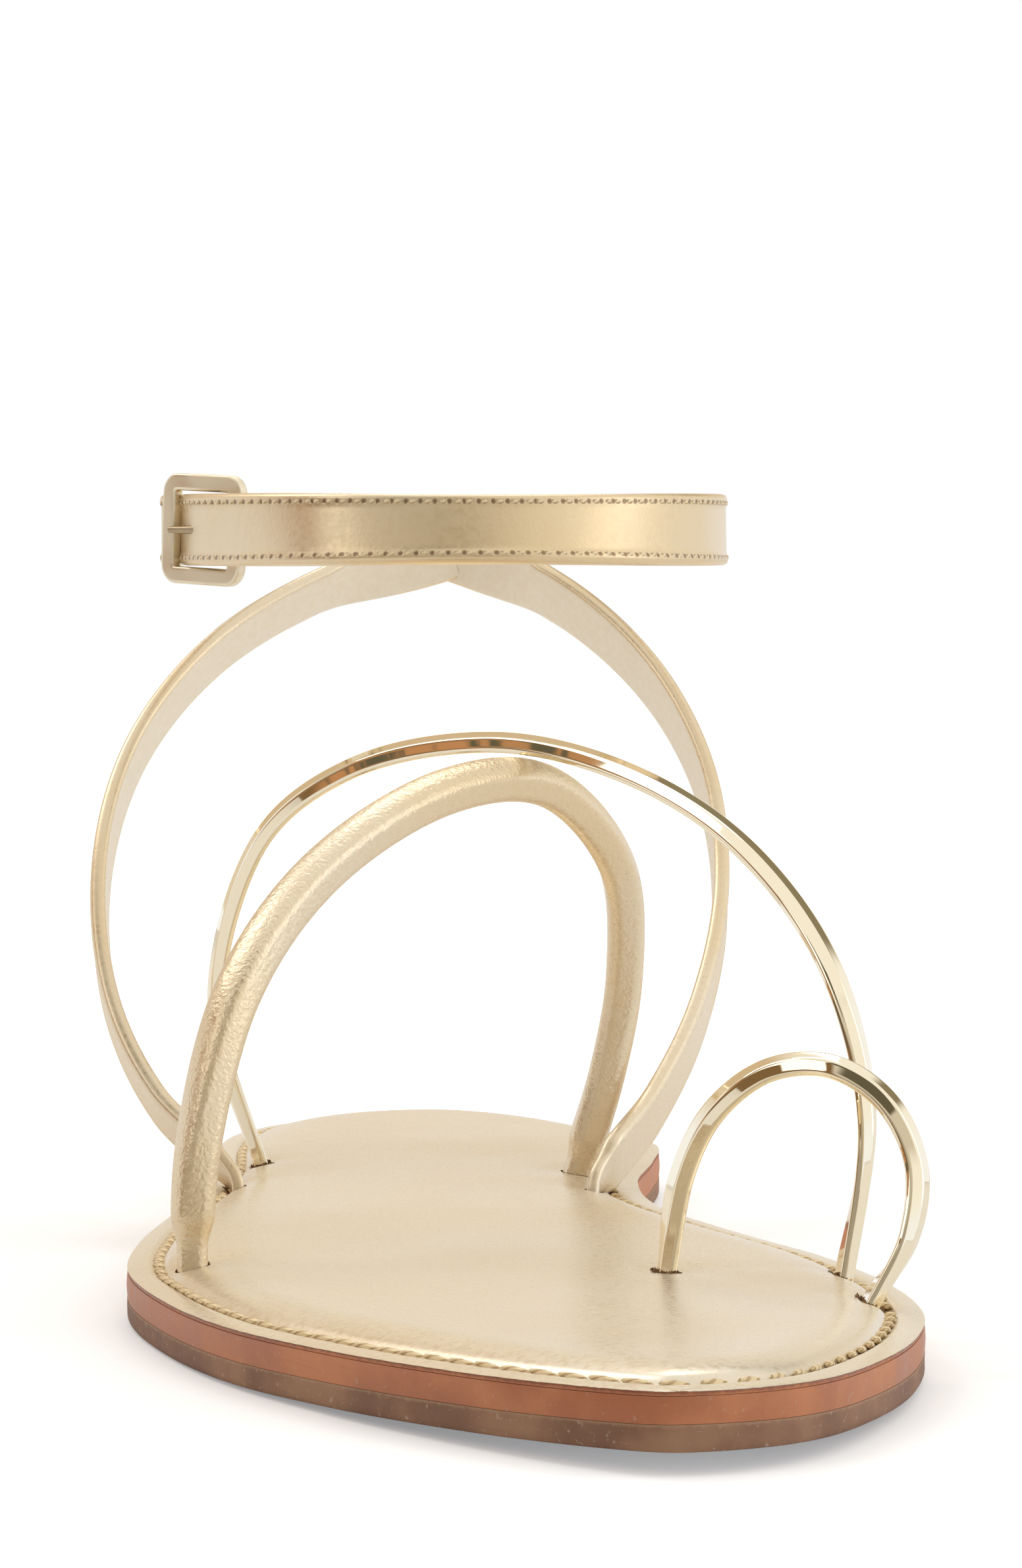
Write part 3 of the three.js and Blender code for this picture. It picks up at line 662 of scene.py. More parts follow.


# %% Finish a piece: metres, smooth shading with crisp corners, material and body
def to_object(bm, name, materials):
    bmesh.ops.scale(bm, vec=(MM, MM, MM), verts=bm.verts)
    mesh = bpy.data.meshes.new(name)
    bm.to_mesh(mesh)
    bm.free()
    for material in materials:
        mesh.materials.append(material)
    made = bpy.data.objects.new(name, mesh)
    bpy.context.scene.collection.objects.link(made)
    return made


def finish_piece(bm, name, materials, node, sharp=40.0):
    bmesh.ops.remove_doubles(bm, verts=bm.verts, dist=1e-4)
    bmesh.ops.recalc_face_normals(bm, faces=bm.faces)
    for edge in bm.edges:
        edge.smooth = edge.calc_face_angle(0.0) < math.radians(sharp)
    for face in bm.faces:
        face.smooth = True
    piece = to_object(bm, name, materials)
    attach(piece, "root")
    if node:
        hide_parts(node)
    print(name, len(piece.data.polygons), "faces", [round(v / MM, 1) for v in piece.dimensions], "mm")
    return piece


# %% [markdown]
# ## The sole
# A shoemaker draws the sole from its outline. The table goes from the heel to the toe: `turn` gives
# the place along the length through a cosine, so that both ends come out round, and the two edges
# are shares of the ball's width.

# %% Outline table and its smooth edges
OUTLINE = [
    (0, 0, 0), (0.09, 0.145, -0.185), (0.18, 0.268, -0.322), (0.26, 0.343, -0.378),
    (0.32, 0.302, -0.4), (0.38, 0.238, -0.436), (0.44, 0.226, -0.5), (0.5, 0.289, -0.565),
    (0.56, 0.371, -0.598), (0.62, 0.407, -0.569), (0.68, 0.395, -0.505), (0.74, 0.34, -0.404),
    (0.82, 0.238, -0.264), (0.91, 0.117, -0.13), (1, -0.04, -0.04),
]


def outline_slope(i, column):
    secants = [
        (b[column] - a[column]) / (b[0] - a[0])
        for a, b in zip(OUTLINE[max(i - 1, 0):i + 2], OUTLINE[max(i - 1, 0) + 1:i + 2])
    ]
    return sum(secants) / len(secants)


def station(turn):
    i = max(k for k in range(len(OUTLINE) - 1) if OUTLINE[k][0] <= turn)
    low, high = OUTLINE[i], OUTLINE[i + 1]
    step = high[0] - low[0]
    t = (turn - low[0]) / step
    edges = [
        hermite(low[c], high[c], outline_slope(i, c) * step, outline_slope(i + 1, c) * step, t) * BALL_WIDTH
        for c in (1, 2)
    ]
    along = (1 - math.cos(math.pi * turn)) / 2
    return along, edges[1], edges[0], (0.5 - along) * SOLE_LENGTH


FIRST_TURN = 0.006
STATION_COUNT = 260
stations = [
    station(FIRST_TURN + (1 - 2 * FIRST_TURN) * i / STATION_COUNT) for i in range(STATION_COUNT + 1)]


# %% Heights of the layers along the length
def spring(along):
    t = min(max((along - SPRING_START) / (1 - SPRING_START), 0.0), 1.0)
    return TOE_SPRING * t * t


def midsole_top(along):
    thickness = MIDSOLE_HEEL_THICKNESS + (MIDSOLE_TOE_THICKNESS - MIDSOLE_HEEL_THICKNESS) * along
    return spring(along) + MIDSOLE_BASE + thickness


def insole_top(along):
    return midsole_top(along) + LAYER_GAP + INSOLE_THICKNESS


def strap_base(along):
    return insole_top(along) + PADDING_RISE / 2


def place(along, across):
    return Vector((across * BALL_WIDTH, (0.5 - along) * SOLE_LENGTH, 0.0))


# %% The edge as an even chain of points, for distances and for the seam
edge_left = [Vector((left, y, 0)) for _, left, _, y in stations]
edge_right = [Vector((right, y, 0)) for _, _, right, y in stations]
edge_loop = edge_left + edge_right[::-1] + edge_left[:1]
EDGE_COUNT = 2400
edge_spots, EDGE_RUN = evenly(edge_loop, EDGE_COUNT)
edge_tree = kdtree.KDTree(EDGE_COUNT)
for edge_index in range(EDGE_COUNT):
    edge_tree.insert(edge_spots[edge_index][0], edge_index)
edge_tree.balance()
print("way round the sole", round(EDGE_RUN, 1), "mm")


# %% [markdown]
# Every layer is a flat grid rolled into a tube: its rows are stations along the sole and its columns
# go once round the layer's section. The edge where the grid meets itself is merged, and the two
# small ends are filled.

# %% Roll a grid into a layer
def rolled_layer(ring_of):
    bm = bmesh.new()
    rings, level_lists = zip(*[ring_of(*row) for row in stations])
    rows, columns = len(rings) - 1, len(rings[0])
    level = bm.verts.layers.float.new("level")
    made = bmesh.ops.create_grid(bm, x_segments=columns, y_segments=rows, size=1.0)
    for vert in made["verts"]:
        column = round((vert.co.x + 1) / 2 * columns) % columns
        row = round((vert.co.y + 1) / 2 * rows)
        vert.co = rings[row][column]
        vert[level] = level_lists[0][column]
    bmesh.ops.remove_doubles(bm, verts=made["verts"], dist=1e-4)
    bmesh.ops.holes_fill(bm, edges=[edge for edge in bm.edges if edge.is_boundary], sides=0)
    return bm


# %% Outsole: flat underneath, with a rounded lower edge
EDGE_ROUND = 0.9
EDGE_WOBBLE = 0.08
WOBBLES_PER_MM = 0.11
WOBBLE_HEIGHT = 1.8
SIDE_STEPS = 6
BOTTOM_STEPS = 16


def outsole_ring(along, left, right, y):
    low = spring(along)
    reach = min(EDGE_ROUND, 0.3 * (right - left))
    wobble = EDGE_WOBBLE * noise.noise(Vector((left * WOBBLES_PER_MM, y * WOBBLES_PER_MM, 3.0)))
    bottom = [
        (left + reach + (right - left - 2 * reach) * i / BOTTOM_STEPS, low) for i in range(BOTTOM_STEPS + 1)]
    # One side, going up: how far past the edge, how high, and the level.
    side = []
    for i in range(1, SIDE_STEPS + 1):
        angle = math.pi / 2 * i / SIDE_STEPS
        past, rise = reach * math.sin(angle) - reach, EDGE_ROUND * (1 - math.cos(angle))
        side.append((past, rise, 0.3 * i / SIDE_STEPS))
    side += [(wobble, WOBBLE_HEIGHT, 0.7), (0.0, OUTSOLE_THICKNESS, 1.0)]
    points = bottom + [(right + past, low + rise) for past, rise, _ in side]
    points += [(left - past, low + rise) for past, rise, _ in reversed(side)]
    levels = [level for _, _, level in side]
    return [Vector((x, y, z)) for x, z in points], [0.0] * len(bottom) + levels + levels[::-1]


finish_piece(rolled_layer(outsole_ring), "outsole_leather", [brown_edge], "outsole")


# %% Midsole: the tan layer, which reaches up to the insole's cover
SEAT = 0.04
SIDE_SWELL = 0.12
SIDE_INSET = 0.05
MIDSOLE_SIDE = 8
MIDSOLE_LEVEL = 0.85


def midsole_ring(along, left, right, y):
    low = spring(along) + OUTSOLE_THICKNESS + SEAT
    high = midsole_top(along) + LAYER_GAP - SEAT
    side = []
    for i in range(MIDSOLE_SIDE + 1):
        share = i / MIDSOLE_SIDE
        past = SIDE_SWELL * math.sin(math.pi * share) - SIDE_INSET
        side.append((past, low + (high - low) * share, MIDSOLE_LEVEL * share))
    points = [(right + past, z) for past, z, _ in side]
    points += [(left - past, z) for past, z, _ in reversed(side)]
    levels = [level for _, _, level in side]
    return [Vector((x, y, z)) for x, z in points], levels + levels[::-1]


# %% [markdown]
# The insole is a cover of gold leather over thin foam. Its rim lies flat, a sunken seam runs about
# four millimetres inside the edge, and the foam swells inside the seam. The cover is pulled down a
# little where the straps go through it.

# %% Height of the footbed at any place
SEAM_INSET = 3.7
SEAM_DEPTH = 0.7
SEAM_WIDTH = 0.75
PADDING_SLOPE = 7.5
PADDING_POWER = 2.4
WAVE_HEIGHT = 0.16
WAVES_PER_MM = 0.035
RIM_DROP = 0.45
RIM_WIDTH = 3.0
# Where each strap goes in, how wide the dip round it is, and how deep.
FEET = [
    (place(0.612, -0.514), 5.0, 0.5), (place(0.316, 0.142), 5.0, 0.4), (place(0.249, -0.329), 4.0, 0.4),
    (place(0.671, 0.352), 4.0, 0.4), (place(0.666, 0.109), 4.5, 0.45), (place(0.759, 0.335), 4.0, 0.35),
    (place(0.324, -0.387), 4.5, 0.4), (place(0.375, 0.145), 4.5, 0.4),
]


def share_along(y):
    return 0.5 - y / SOLE_LENGTH


def footbed_height(x, y, along):
    inset = edge_tree.find(Vector((x, y, 0)))[2]
    rim = RIM_DROP * (min(inset / RIM_WIDTH, 1.0) ** 0.7 - 1)
    up_slope = min(max((inset - SEAM_INSET) / PADDING_SLOPE, 0.0), 1.0)
    padding = PADDING_RISE * (1 - (1 - up_slope) ** PADDING_POWER)
    seam = SEAM_DEPTH * math.exp(-(((inset - SEAM_INSET) / SEAM_WIDTH) ** 2))
    pulled = sum(d * math.exp(-(((Vector((x, y, 0)) - foot).length / r) ** 2)) for foot, r, d in FEET)
    wave = WAVE_HEIGHT * noise.noise(Vector((x, y, 0.0)) * WAVES_PER_MM) * ease((inset - 5) / 8)
    return insole_top(along) + rim + padding - seam - pulled * ease((inset - 1) / 3) + wave


# %% Insole as a rolled grid with many columns over the top
TOP_COLUMNS = 132
COVER_SIDE = 4
COVER_INSET = 0.12
COVER_SWELL = 0.1
TOP_LEVEL = 2.0


def insole_ring(along, left, right, y):
    low = midsole_top(along) + LAYER_GAP
    shares = [i / COVER_SIDE for i in range(1, COVER_SIDE + 1)]

    def side(edge, way):
        rise = 0.9 * (footbed_height(edge, y, along) - low)
        inward = [COVER_INSET - COVER_SWELL * math.sin(math.pi * t) for t in shares]
        return [(edge - way * step, low + rise * t) for step, t in zip(inward, shares)]

    top = []
    for i in range(TOP_COLUMNS + 1):
        x = left + (right - left) * (0.5 + 0.5 * math.cos(math.pi * i / TOP_COLUMNS))
        top.append((x, footbed_height(x, y, along)))
    points = [(left + COVER_INSET, low), (right - COVER_INSET, low)]
    points += side(right, 1) + top + side(left, -1)[::-1]
    levels = [MIDSOLE_LEVEL + (1 - MIDSOLE_LEVEL) * t for t in shares]
    levels = [MIDSOLE_LEVEL] * 2 + levels + [TOP_LEVEL] * len(top) + levels[::-1]
    return [Vector((x, y, z)) for x, z in points], levels


# %% [markdown]
# ## Routes of the straps
# A route is a short table: the share of the sole's length from the heel, the share of the ball's
# width, and the share of the strap's own height. The feet go on down into the midsole.

# %% Route tables
TUBE_ROUTE = [
    (0.612, -0.514, 0), (0.609, -0.514, 0.08), (0.602, -0.505, 0.25), (0.576, -0.447, 0.56),
    (0.526, -0.318, 0.81), (0.461, -0.108, 0.98), (0.411, 0.058, 0.975), (0.365, 0.183, 0.77),
    (0.334, 0.208, 0.49), (0.322, 0.187, 0.25), (0.316, 0.142, 0),
]
BAR_ROUTE = [
    (0.249, -0.329, 0), (0.258, -0.402, 0.36), (0.294, -0.341, 0.755), (0.335, -0.214, 0.925),
    (0.399, -0.023, 0.995), (0.483, 0.149, 0.94), (0.571, 0.28, 0.79), (0.633, 0.36, 0.565),
    (0.663, 0.386, 0.295), (0.671, 0.352, 0),
]
RING_ROUTE = [
    (0.666, 0.109, 0), (0.671, 0.125, 0.45), (0.683, 0.164, 0.77), (0.698, 0.23, 0.97),
    (0.715, 0.306, 1), (0.732, 0.371, 0.85), (0.746, 0.402, 0.57), (0.756, 0.384, 0.26),
    (0.759, 0.335, 0),
]
LATERAL_ROUTE = [
    (0.324, -0.387, 0), (0.288, -0.496, 0.113), (0.247, -0.561, 0.261), (0.194, -0.568, 0.462),
    (0.136, -0.501, 0.658), (0.085, -0.359, 0.821), (0.044, -0.159, 0.935),
]
MEDIAL_ROUTE = [
    (0.375, 0.145, 0), (0.325, 0.257, 0.106), (0.272, 0.354, 0.239), (0.211, 0.422, 0.415),
    (0.154, 0.427, 0.601), (0.1, 0.362, 0.772), (0.053, 0.234, 0.908),
]
# Above the routes: degrees round the ankle, share of the drop, and thicknesses inside the strap.
LATERAL_TOP = [(84, 1, 0.8)]
MEDIAL_TOP = [(84, 1, 0.5), (106, 0.25, 0.5)]
WRAP_ANGLES = [112, 92, 72, 52, 32, 12, -8, -28, -48, -68, -88, -108, -128]
HOLDER_ANGLES = [68, 88, 108, 128, 148, 166, 180]
# The free end: degrees round the ankle, and lift in thicknesses.
FREE_END = [(168, 1.55), (156, 1.4), (146, 1.32)]
ANKLE_CENTRE = place(0.165, 0.0095)
REAR_HEIGHT = ANKLE_HEIGHT - CROSSING_DROP - strap_base(0)


# %% Points of a route, and the directions in which the straps face
def route_points(route, height):
    return [place(a, b) + Vector((0, 0, strap_base(a) + height * rise)) for a, b, rise in route]


def foot_point(last, before, height, slope_limit):
    end, above = route_points([last, before], height)
    depth = end.z - spring(last[0]) - MIDSOLE_BASE - FOOT_LIFT
    slope = Vector((end.x - above.x, end.y - above.y, 0)) / (above.z - end.z)
    slope *= min(1.0, slope_limit / max(slope.length, 1e-6))
    return end + slope * depth - Vector((0, 0, depth))


def instep_curve(route, height):
    first = foot_point(route[0], route[1], height, FOOT_SLOPE)
    last = foot_point(route[-1], route[-2], height, FOOT_SLOPE)
    return smooth_curve([first] + route_points(route, height) + [last])


def over_instep(route):
    middle = (place(*route[0][:2]) + place(*route[-1][:2])) / 2
    low = insole_top(0.5) + PADDING_RISE

    def outward(point, tangent):
        height = max(point.z - low, 0.0)
        return Vector((point.x - middle.x, -height * math.tan(math.radians(INSTEP_TILT)), height))

    return outward


def ankle_point(degrees):
    angle = math.radians(degrees)
    return Vector((
        ANKLE_CENTRE.x + ANKLE_WIDTH / 2 * math.cos(angle),
        ANKLE_CENTRE.y + ANKLE_DEPTH / 2 * math.sin(angle),
        ANKLE_HEIGHT,
    ))


def around_ankle(point, tangent=None):
    across = (point.x - ANKLE_CENTRE.x) / (ANKLE_WIDTH / 2)
    depth = (point.y - ANKLE_CENTRE.y) / (ANKLE_DEPTH / 2)
    lean = math.radians(ANKLE_LEAN) * max(-depth, 0.0) ** 2
    out = Vector((across / ANKLE_WIDTH, depth / ANKLE_DEPTH, 0)).normalized() * math.cos(lean)
    return Vector((out.x, out.y, math.sin(lean)))


def level_out(point):
    out = around_ankle(point)
    return Vector((out.x, out.y, 0)).normalized()


def around_heel(lean_degrees, side):
    lean, swing = math.radians(lean_degrees), math.radians(REAR_SWING)
    width = Vector((math.sin(swing) * math.cos(lean), -math.cos(swing) * math.cos(lean), math.sin(lean)))

    def outward(point, tangent):
        face = tangent.cross(width).normalized() * side
        below = ANKLE_HEIGHT - CROSSING_DROP - point.z
        return face.lerp(around_ankle(point), ease(1 - below / CROSSING_TWIST))

    return outward


def rear_curve(route, top):
    ends = []
    for angle, drop, inset in top:
        point = ankle_point(angle)
        point -= around_ankle(point) * inset * BAND_THICKNESS
        ends.append(Vector((point.x, point.y, ANKLE_HEIGHT - drop * CROSSING_DROP)))
    foot = foot_point(route[0], route[1], REAR_HEIGHT, REAR_FOOT_SLOPE)
    return smooth_curve([foot] + route_points(route, REAR_HEIGHT) + ends)


tube_curve = instep_curve(TUBE_ROUTE, TUBE_HEIGHT)
bar_curve = instep_curve(BAR_ROUTE, BAR_HEIGHT)
ring_curve = instep_curve(RING_ROUTE, RING_HEIGHT)
lateral_curve = rear_curve(LATERAL_ROUTE, LATERAL_TOP)
medial_curve = rear_curve(MEDIAL_ROUTE, MEDIAL_TOP)
tube_out, bar_out, ring_out = [over_instep(route) for route in (TUBE_ROUTE, BAR_ROUTE, RING_ROUTE)]
lateral_out = around_heel(LATERAL_LEAN, -1)
medial_out = around_heel(MEDIAL_LEAN, 1)

# %% Sections of the straps
METAL_CORNERS = [
    (METAL_WIDTH / 2 * across, METAL_THICKNESS / 2 * out) for across, out in (
        (-0.92, -1), (0.92, -1), (1, -0.2), (0.48, 1), (-0.48, 1), (-1, -0.2))
]
METAL_ROUND = 0.27
TUBE_ROUND = 1.5
metal_section = rounded_section(METAL_CORNERS, METAL_ROUND, 4, hold=0.08)


def tube_section(grow=0.0):
    half_w, half_t = TUBE_WIDTH / 2 + grow, TUBE_THICKNESS / 2 + grow
    corners = [
        (-half_w * 0.62, -half_t), (half_w * 0.62, -half_t), (half_w * 0.98, -half_t * 0.5),
        (half_w * 0.86, half_t * 0.72), (half_w * 0.3, half_t), (-half_w * 0.3, half_t),
        (-half_w * 0.86, half_t * 0.72), (-half_w * 0.98, -half_t * 0.5),
    ]
    return rounded_section(corners, TUBE_ROUND)


# A band's edges stand a lip higher than the middle of its face.
def band_section(width, thickness, lip=0.0, grow=0.0):
    half_w, half_t = width / 2 + grow, thickness / 2 + grow
    corners = [(-half_w, -half_t), (half_w, -half_t), (half_w, half_t), (-half_w, half_t)]
    section = rounded_section(corners, 0.48 * thickness)
    steps = 18
    face = 3 * (CORNER_STEPS + 1)
    start, end = section[face - 1], section[face]
    top = []
    for i in range(1, steps):
        x = start[0] + (end[0] - start[0]) * i / steps
        dip = lip * (1 - ease((abs(x) - half_w * 0.62) / (half_w * 0.2)))
        top.append((x, half_t - dip))
    return section[:face] + top + section[face:]


def necked(first, last):
    def girth(run, length):
        a = 1 - (1 - first) * (1 - ease((run - NECK_LENGTH) / NECK_RISE))
        b = 1 - (1 - last) * (1 - ease((length - run - NECK_LENGTH) / NECK_RISE))
        return (a * b, a * b)

    return girth


# %% [markdown]
# The slots are cut with boolean modifiers. Each cutter is the strap's own foot, a little wider, and
# its torn-leather material stays on the walls that it cuts.

# %% Cutters for the slots
def cutter(name, curve, section, outward, start, end, girth=None):
    bm = bmesh.new()
    frames, _ = strap_frames(curve, outward, 24, girth, start, end)
    sweep(bm, section, frames)
    bmesh.ops.recalc_face_normals(bm, faces=bm.faces)
    return to_object(bm, name, [torn])


tube_girth = necked(TUBE_NECK, TUBE_NECK)
rear_girth = necked(REAR_NECK, 1.0)
wide_metal = [(x * 1.3, y * 1.55) for x, y in metal_section]
wide_tube = tube_section(0.35)
wide_band = band_section(REAR_BAND_WIDTH, BAND_THICKNESS, grow=0.4)
cutters = [
    cutter("cut_tube_a", tube_curve, wide_tube, tube_out, -0.01, 0.09, tube_girth),
    cutter("cut_tube_b", tube_curve, wide_tube, tube_out, 0.91, 1.01, tube_girth),
    cutter("cut_bar_a", bar_curve, wide_metal, bar_out, -0.01, 0.08),
    cutter("cut_bar_b", bar_curve, wide_metal, bar_out, 0.92, 1.01),
    cutter("cut_ring_a", ring_curve, wide_metal, ring_out, -0.02, 0.14),
    cutter("cut_ring_b", ring_curve, wide_metal, ring_out, 0.86, 1.02),
    cutter("cut_lateral", lateral_curve, wide_band, lateral_out, -0.01, 0.1, rear_girth),
    cutter("cut_medial", medial_curve, wide_band, medial_out, -0.01, 0.1, rear_girth),
]


def cut_slots(piece):
    for tool in cutters:
        cut = piece.modifiers.new(tool.name, "BOOLEAN")
        cut.operation = "DIFFERENCE"
        cut.solver = "MANIFOLD"
        cut.object = tool
        cut.material_mode = "TRANSFER"
    depsgraph = bpy.context.evaluated_depsgraph_get()
    cut_mesh = bpy.data.meshes.new_from_object(piece.evaluated_get(depsgraph))
    piece.modifiers.clear()
    old = piece.data
    piece.data = cut_mesh
    cut_mesh.name = old.name
    bpy.data.meshes.remove(old)
    print(piece.name, "cut, now", len(cut_mesh.polygons), "faces")


# %% Midsole and insole with their slots
bm = rolled_layer(midsole_ring)
midsole_piece = finish_piece(bm, "midsole_leather", [tan_edge], "midsole")
cut_slots(midsole_piece)

# Only the top of the cover is gold: its side and its underside are cut leather.
bm = rolled_layer(insole_ring)
level_layer = bm.verts.layers.float["level"]
for face in bm.faces:
    covered = len(face.verts) < 5 and sum(vert[level_layer] for vert in face.verts) / len(face.verts) > 1.2
    face.material_index = 0 if covered else 1
insole_piece = finish_piece(bm, "insole_cover", [footbed_leather, tan_edge], "insole", sharp=55.0)
cut_slots(insole_piece)

for tool in cutters:
    spare = tool.data
    bpy.data.objects.remove(tool)
    bpy.data.meshes.remove(spare)

# %% [markdown]
# The seam round the footbed is sewn with a thick, twisted thread. Each stitch lies a little aslant
# and dives into the leather at both ends, so it is a stretched ball, wide in the middle.

# %% Stitches along a line of places
def stitched(spots, size, slant_degrees, sink, dive=0.0):
    length, wide, high = size
    slant = math.radians(slant_degrees)
    bm = bmesh.new()
    bm.loops.layers.uv.new("UVMap")
    for spot, along, up in spots:
        side = up.cross(along).normalized()
        ahead = (along * math.cos(slant) + side * math.sin(slant) - up * dive).normalized()
        across = up.cross(ahead).normalized()
        turn = Matrix((across * wide / 2, up * high / 2, ahead * length / 2)).transposed().to_4x4()
        bmesh.ops.create_uvsphere(
            bm, u_segments=8, v_segments=6, radius=1.0, calc_uvs=True,
            matrix=Matrix.Translation(spot - up * sink) @ turn)
    return bm


SEAM_PITCH = 4.0
SEAM_STITCH = (3.6, 1.05, 0.85)
SEAM_LIFT = 0.48
SEAM_LEAN = 0.12
CLEAR_OF_FEET = 2.2
inner_line = []
for k in range(0, EDGE_COUNT, 6):
    spot, ahead, _ = edge_spots[k]
    inner_line.append(spot + Vector((-ahead.y, ahead.x, 0)) * SEAM_INSET)
inner_line.append(inner_line[0].copy())
seam_length = evenly(inner_line, 10)[1]
seam_spots, _ = evenly(inner_line, round(seam_length / SEAM_PITCH))
maker = random.Random(7)
sewn_spots = []
for spot, ahead, _ in seam_spots[:-1]:
    if any((spot - foot).length < CLEAR_OF_FEET for foot, _, _ in FEET):
        continue
    height = footbed_height(spot.x, spot.y, share_along(spot.y)) + SEAM_LIFT
    lean = maker.uniform(-SEAM_LEAN, SEAM_LEAN)
    sewn_spots.append((Vector((spot.x, spot.y, height)), ahead, Vector((lean, lean, 1)).normalized()))
print(len(sewn_spots), "stitches round the footbed")
bm = stitched(sewn_spots, SEAM_STITCH, 15, 0.0, dive=0.1)
finish_piece(bm, "footbed_seam", [seam_thread], None)

# %% [markdown]
# ## Straps over the instep
# The padded strap is leather sewn round a soft core: round on its face, with a crisp fold along the
# inner side. The two metal bands are cast with a flat back and bevelled sides.

# %% One strap, swept and, for a leather band, lined on its inner face
LEATHER_SHARP = 60.0
METAL_SHARP = 35.0


def lined(bm, thickness):
    depth = bm.verts.layers.float["depth"]
    across = bm.verts.layers.float["across"]
    for face in bm.faces:
        inner = sum(v[depth] for v in face.verts) / len(face.verts) < -thickness * 0.44
        flat = all(abs(v[across]) < BAND_WIDTH * 0.46 for v in face.verts)
        face.material_index = 1 if inner and flat else 0


def strap(name, curve, outward, count, section, materials, node, sharp, girth=None, lining_at=None):
    frames, length = strap_frames(curve, outward, count, girth)
    bm = bmesh.new()
    sweep(bm, section, frames)
    if lining_at:
        lined(bm, lining_at)
    piece = finish_piece(bm, name, materials, node, sharp)
    print(name, "runs", round(length), "mm")
    return piece, frames, length


# %% Padded strap
padded_piece, _, _ = strap(
    "padded_strap_leather", tube_curve, tube_out, 200, tube_section(), [tube_leather],
    "padded_strap", LEATHER_SHARP, tube_girth)

# %% Metal bands
for metal_node, metal_curve, metal_out, metal_count in (
        ("instep_bar", bar_curve, bar_out, 260), ("toe_ring", ring_curve, ring_out, 180)):
    strap(f"{metal_node}_metal", metal_curve, metal_out, metal_count, metal_section, [polished],
          metal_node, METAL_SHARP)

# %% [markdown]
# ## Ankle strap
# The long part starts behind the heel, goes round the inner side and the front, over the buckle's
# inner bar and under its outer bar. The short part comes round the outer side and folds back
# around the inner bar. Both have rolled edges with a row of small stitches beside each.

# %% Buckle place
FRAME_LENGTH = 14.4
FRAME_HEIGHT = 14.8
FRAME_BAR = 2.3
FRAME_THICKNESS = 1.7
FRAME_CORNER = 2.6
FRAME_ANGLE = 195.0
FRAME_TURN = 132.0
FRAME_TILT = 2.5
PRONG_RADIUS = 0.7
FOLD_WALL = 1.2
frame_along = Vector((math.cos(math.radians(FRAME_TURN)), math.sin(math.radians(FRAME_TURN)), 0))
frame_out = Vector((-frame_along.y, frame_along.x, 0))
BAR_PITCH = FRAME_LENGTH - FRAME_BAR
BAR_RADIUS = math.hypot(FRAME_BAR, FRAME_THICKNESS) / 2
FOLD_RADIUS = BAR_RADIUS + FIT_GAP + FOLD_WALL
OVER_INNER = FOLD_RADIUS + FIT_GAP + BAND_THICKNESS / 2
UNDER_OUTER = FRAME_THICKNESS / 2 + FIT_GAP + BAND_THICKNESS / 2
on_oval = ankle_point(FRAME_ANGLE)
inner_bar = on_oval - level_out(on_oval) * OVER_INNER
outer_bar = inner_bar + frame_along * BAR_PITCH


# %% Ankle strap bands
TIP_LENGTH = 6.0
HOLDER_TRIM = 0.4


def tip(run, length):
    left = min((length - run) / TIP_LENGTH, 1.0)
    return (math.sqrt(max(1 - (1 - left) ** 2, 0.02)), 1.0)


free_points = []
for angle, lift in FREE_END:
    point = ankle_point(angle)
    free_points.append(point + level_out(point) * lift * BAND_THICKNESS)
wrap_points = [ankle_point(a) for a in WRAP_ANGLES]
wrap_points += [inner_bar + frame_out * OVER_INNER, outer_bar - frame_out * UNDER_OUTER] + free_points
wrap_curve = smooth_curve(wrap_points)
holder_curve = smooth_curve([ankle_point(a) for a in HOLDER_ANGLES] + [inner_bar])


def band(name, curve, outward, count, leather, width, thickness, lip, girth=None):
    return strap(
        name, curve, outward, count, band_section(width, thickness, lip), [leather, lining],
        "ankle_strap", LEATHER_SHARP, girth, thickness)


_, wrap_frames, wrap_run = band(
    "ankle_strap_long", wrap_curve, around_ankle, 320, strap_leather, BAND_WIDTH, BAND_THICKNESS, 0.22, tip)
band("ankle_strap_short", holder_curve, around_ankle, 120, strap_leather,
     BAND_WIDTH - HOLDER_TRIM, BAND_THICKNESS - HOLDER_TRIM, 0.2)

# %% Rear straps
for rear_name, rear_points, rear_out in (
        ("lateral", lateral_curve, lateral_out), ("medial", medial_curve, medial_out)):
    band(f"rear_strap_{rear_name}", rear_points, rear_out, 180, rear_leather,
         REAR_BAND_WIDTH, BAND_THICKNESS, 0.1, rear_girth)


# %% Stitches of the ankle strap, one between each pair of needle holes
FINE_STITCH = (1.2, 0.62, 0.44)
ROW_START = 2.0
ROW_END = wrap_run - 8


def row_spots(frames, across):
    spots = []
    run = math.ceil(ROW_START / STITCH_PITCH) * STITCH_PITCH
    while run < ROW_END:
        matrix, _ = min(frames, key=lambda frame: abs(frame[1] - run))
        up = matrix.col[1].to_3d().normalized()
        ahead = matrix.col[2].to_3d().normalized()
        spots.append((matrix @ Vector((across, 0, 0)) + up * (BAND_THICKNESS / 2 - 0.05), ahead, up))
        run += STITCH_PITCH
    return spots


rows = row_spots(wrap_frames, UPPER_ROW) + row_spots(wrap_frames, -LOWER_ROW)
print(len(rows), "stitches on the ankle strap")
bm = stitched(rows, FINE_STITCH, -14, 0.1)
finish_piece(bm, "ankle_strap_seam", [fine_thread], None)

# %% [markdown]
# ## Buckle
# The frame is a flat ring with round corners, stamped and tumbled until its edges are soft. It is
# drawn as one face, its corners are bevelled, an inset opens the middle, and solidify gives it its
# thickness.

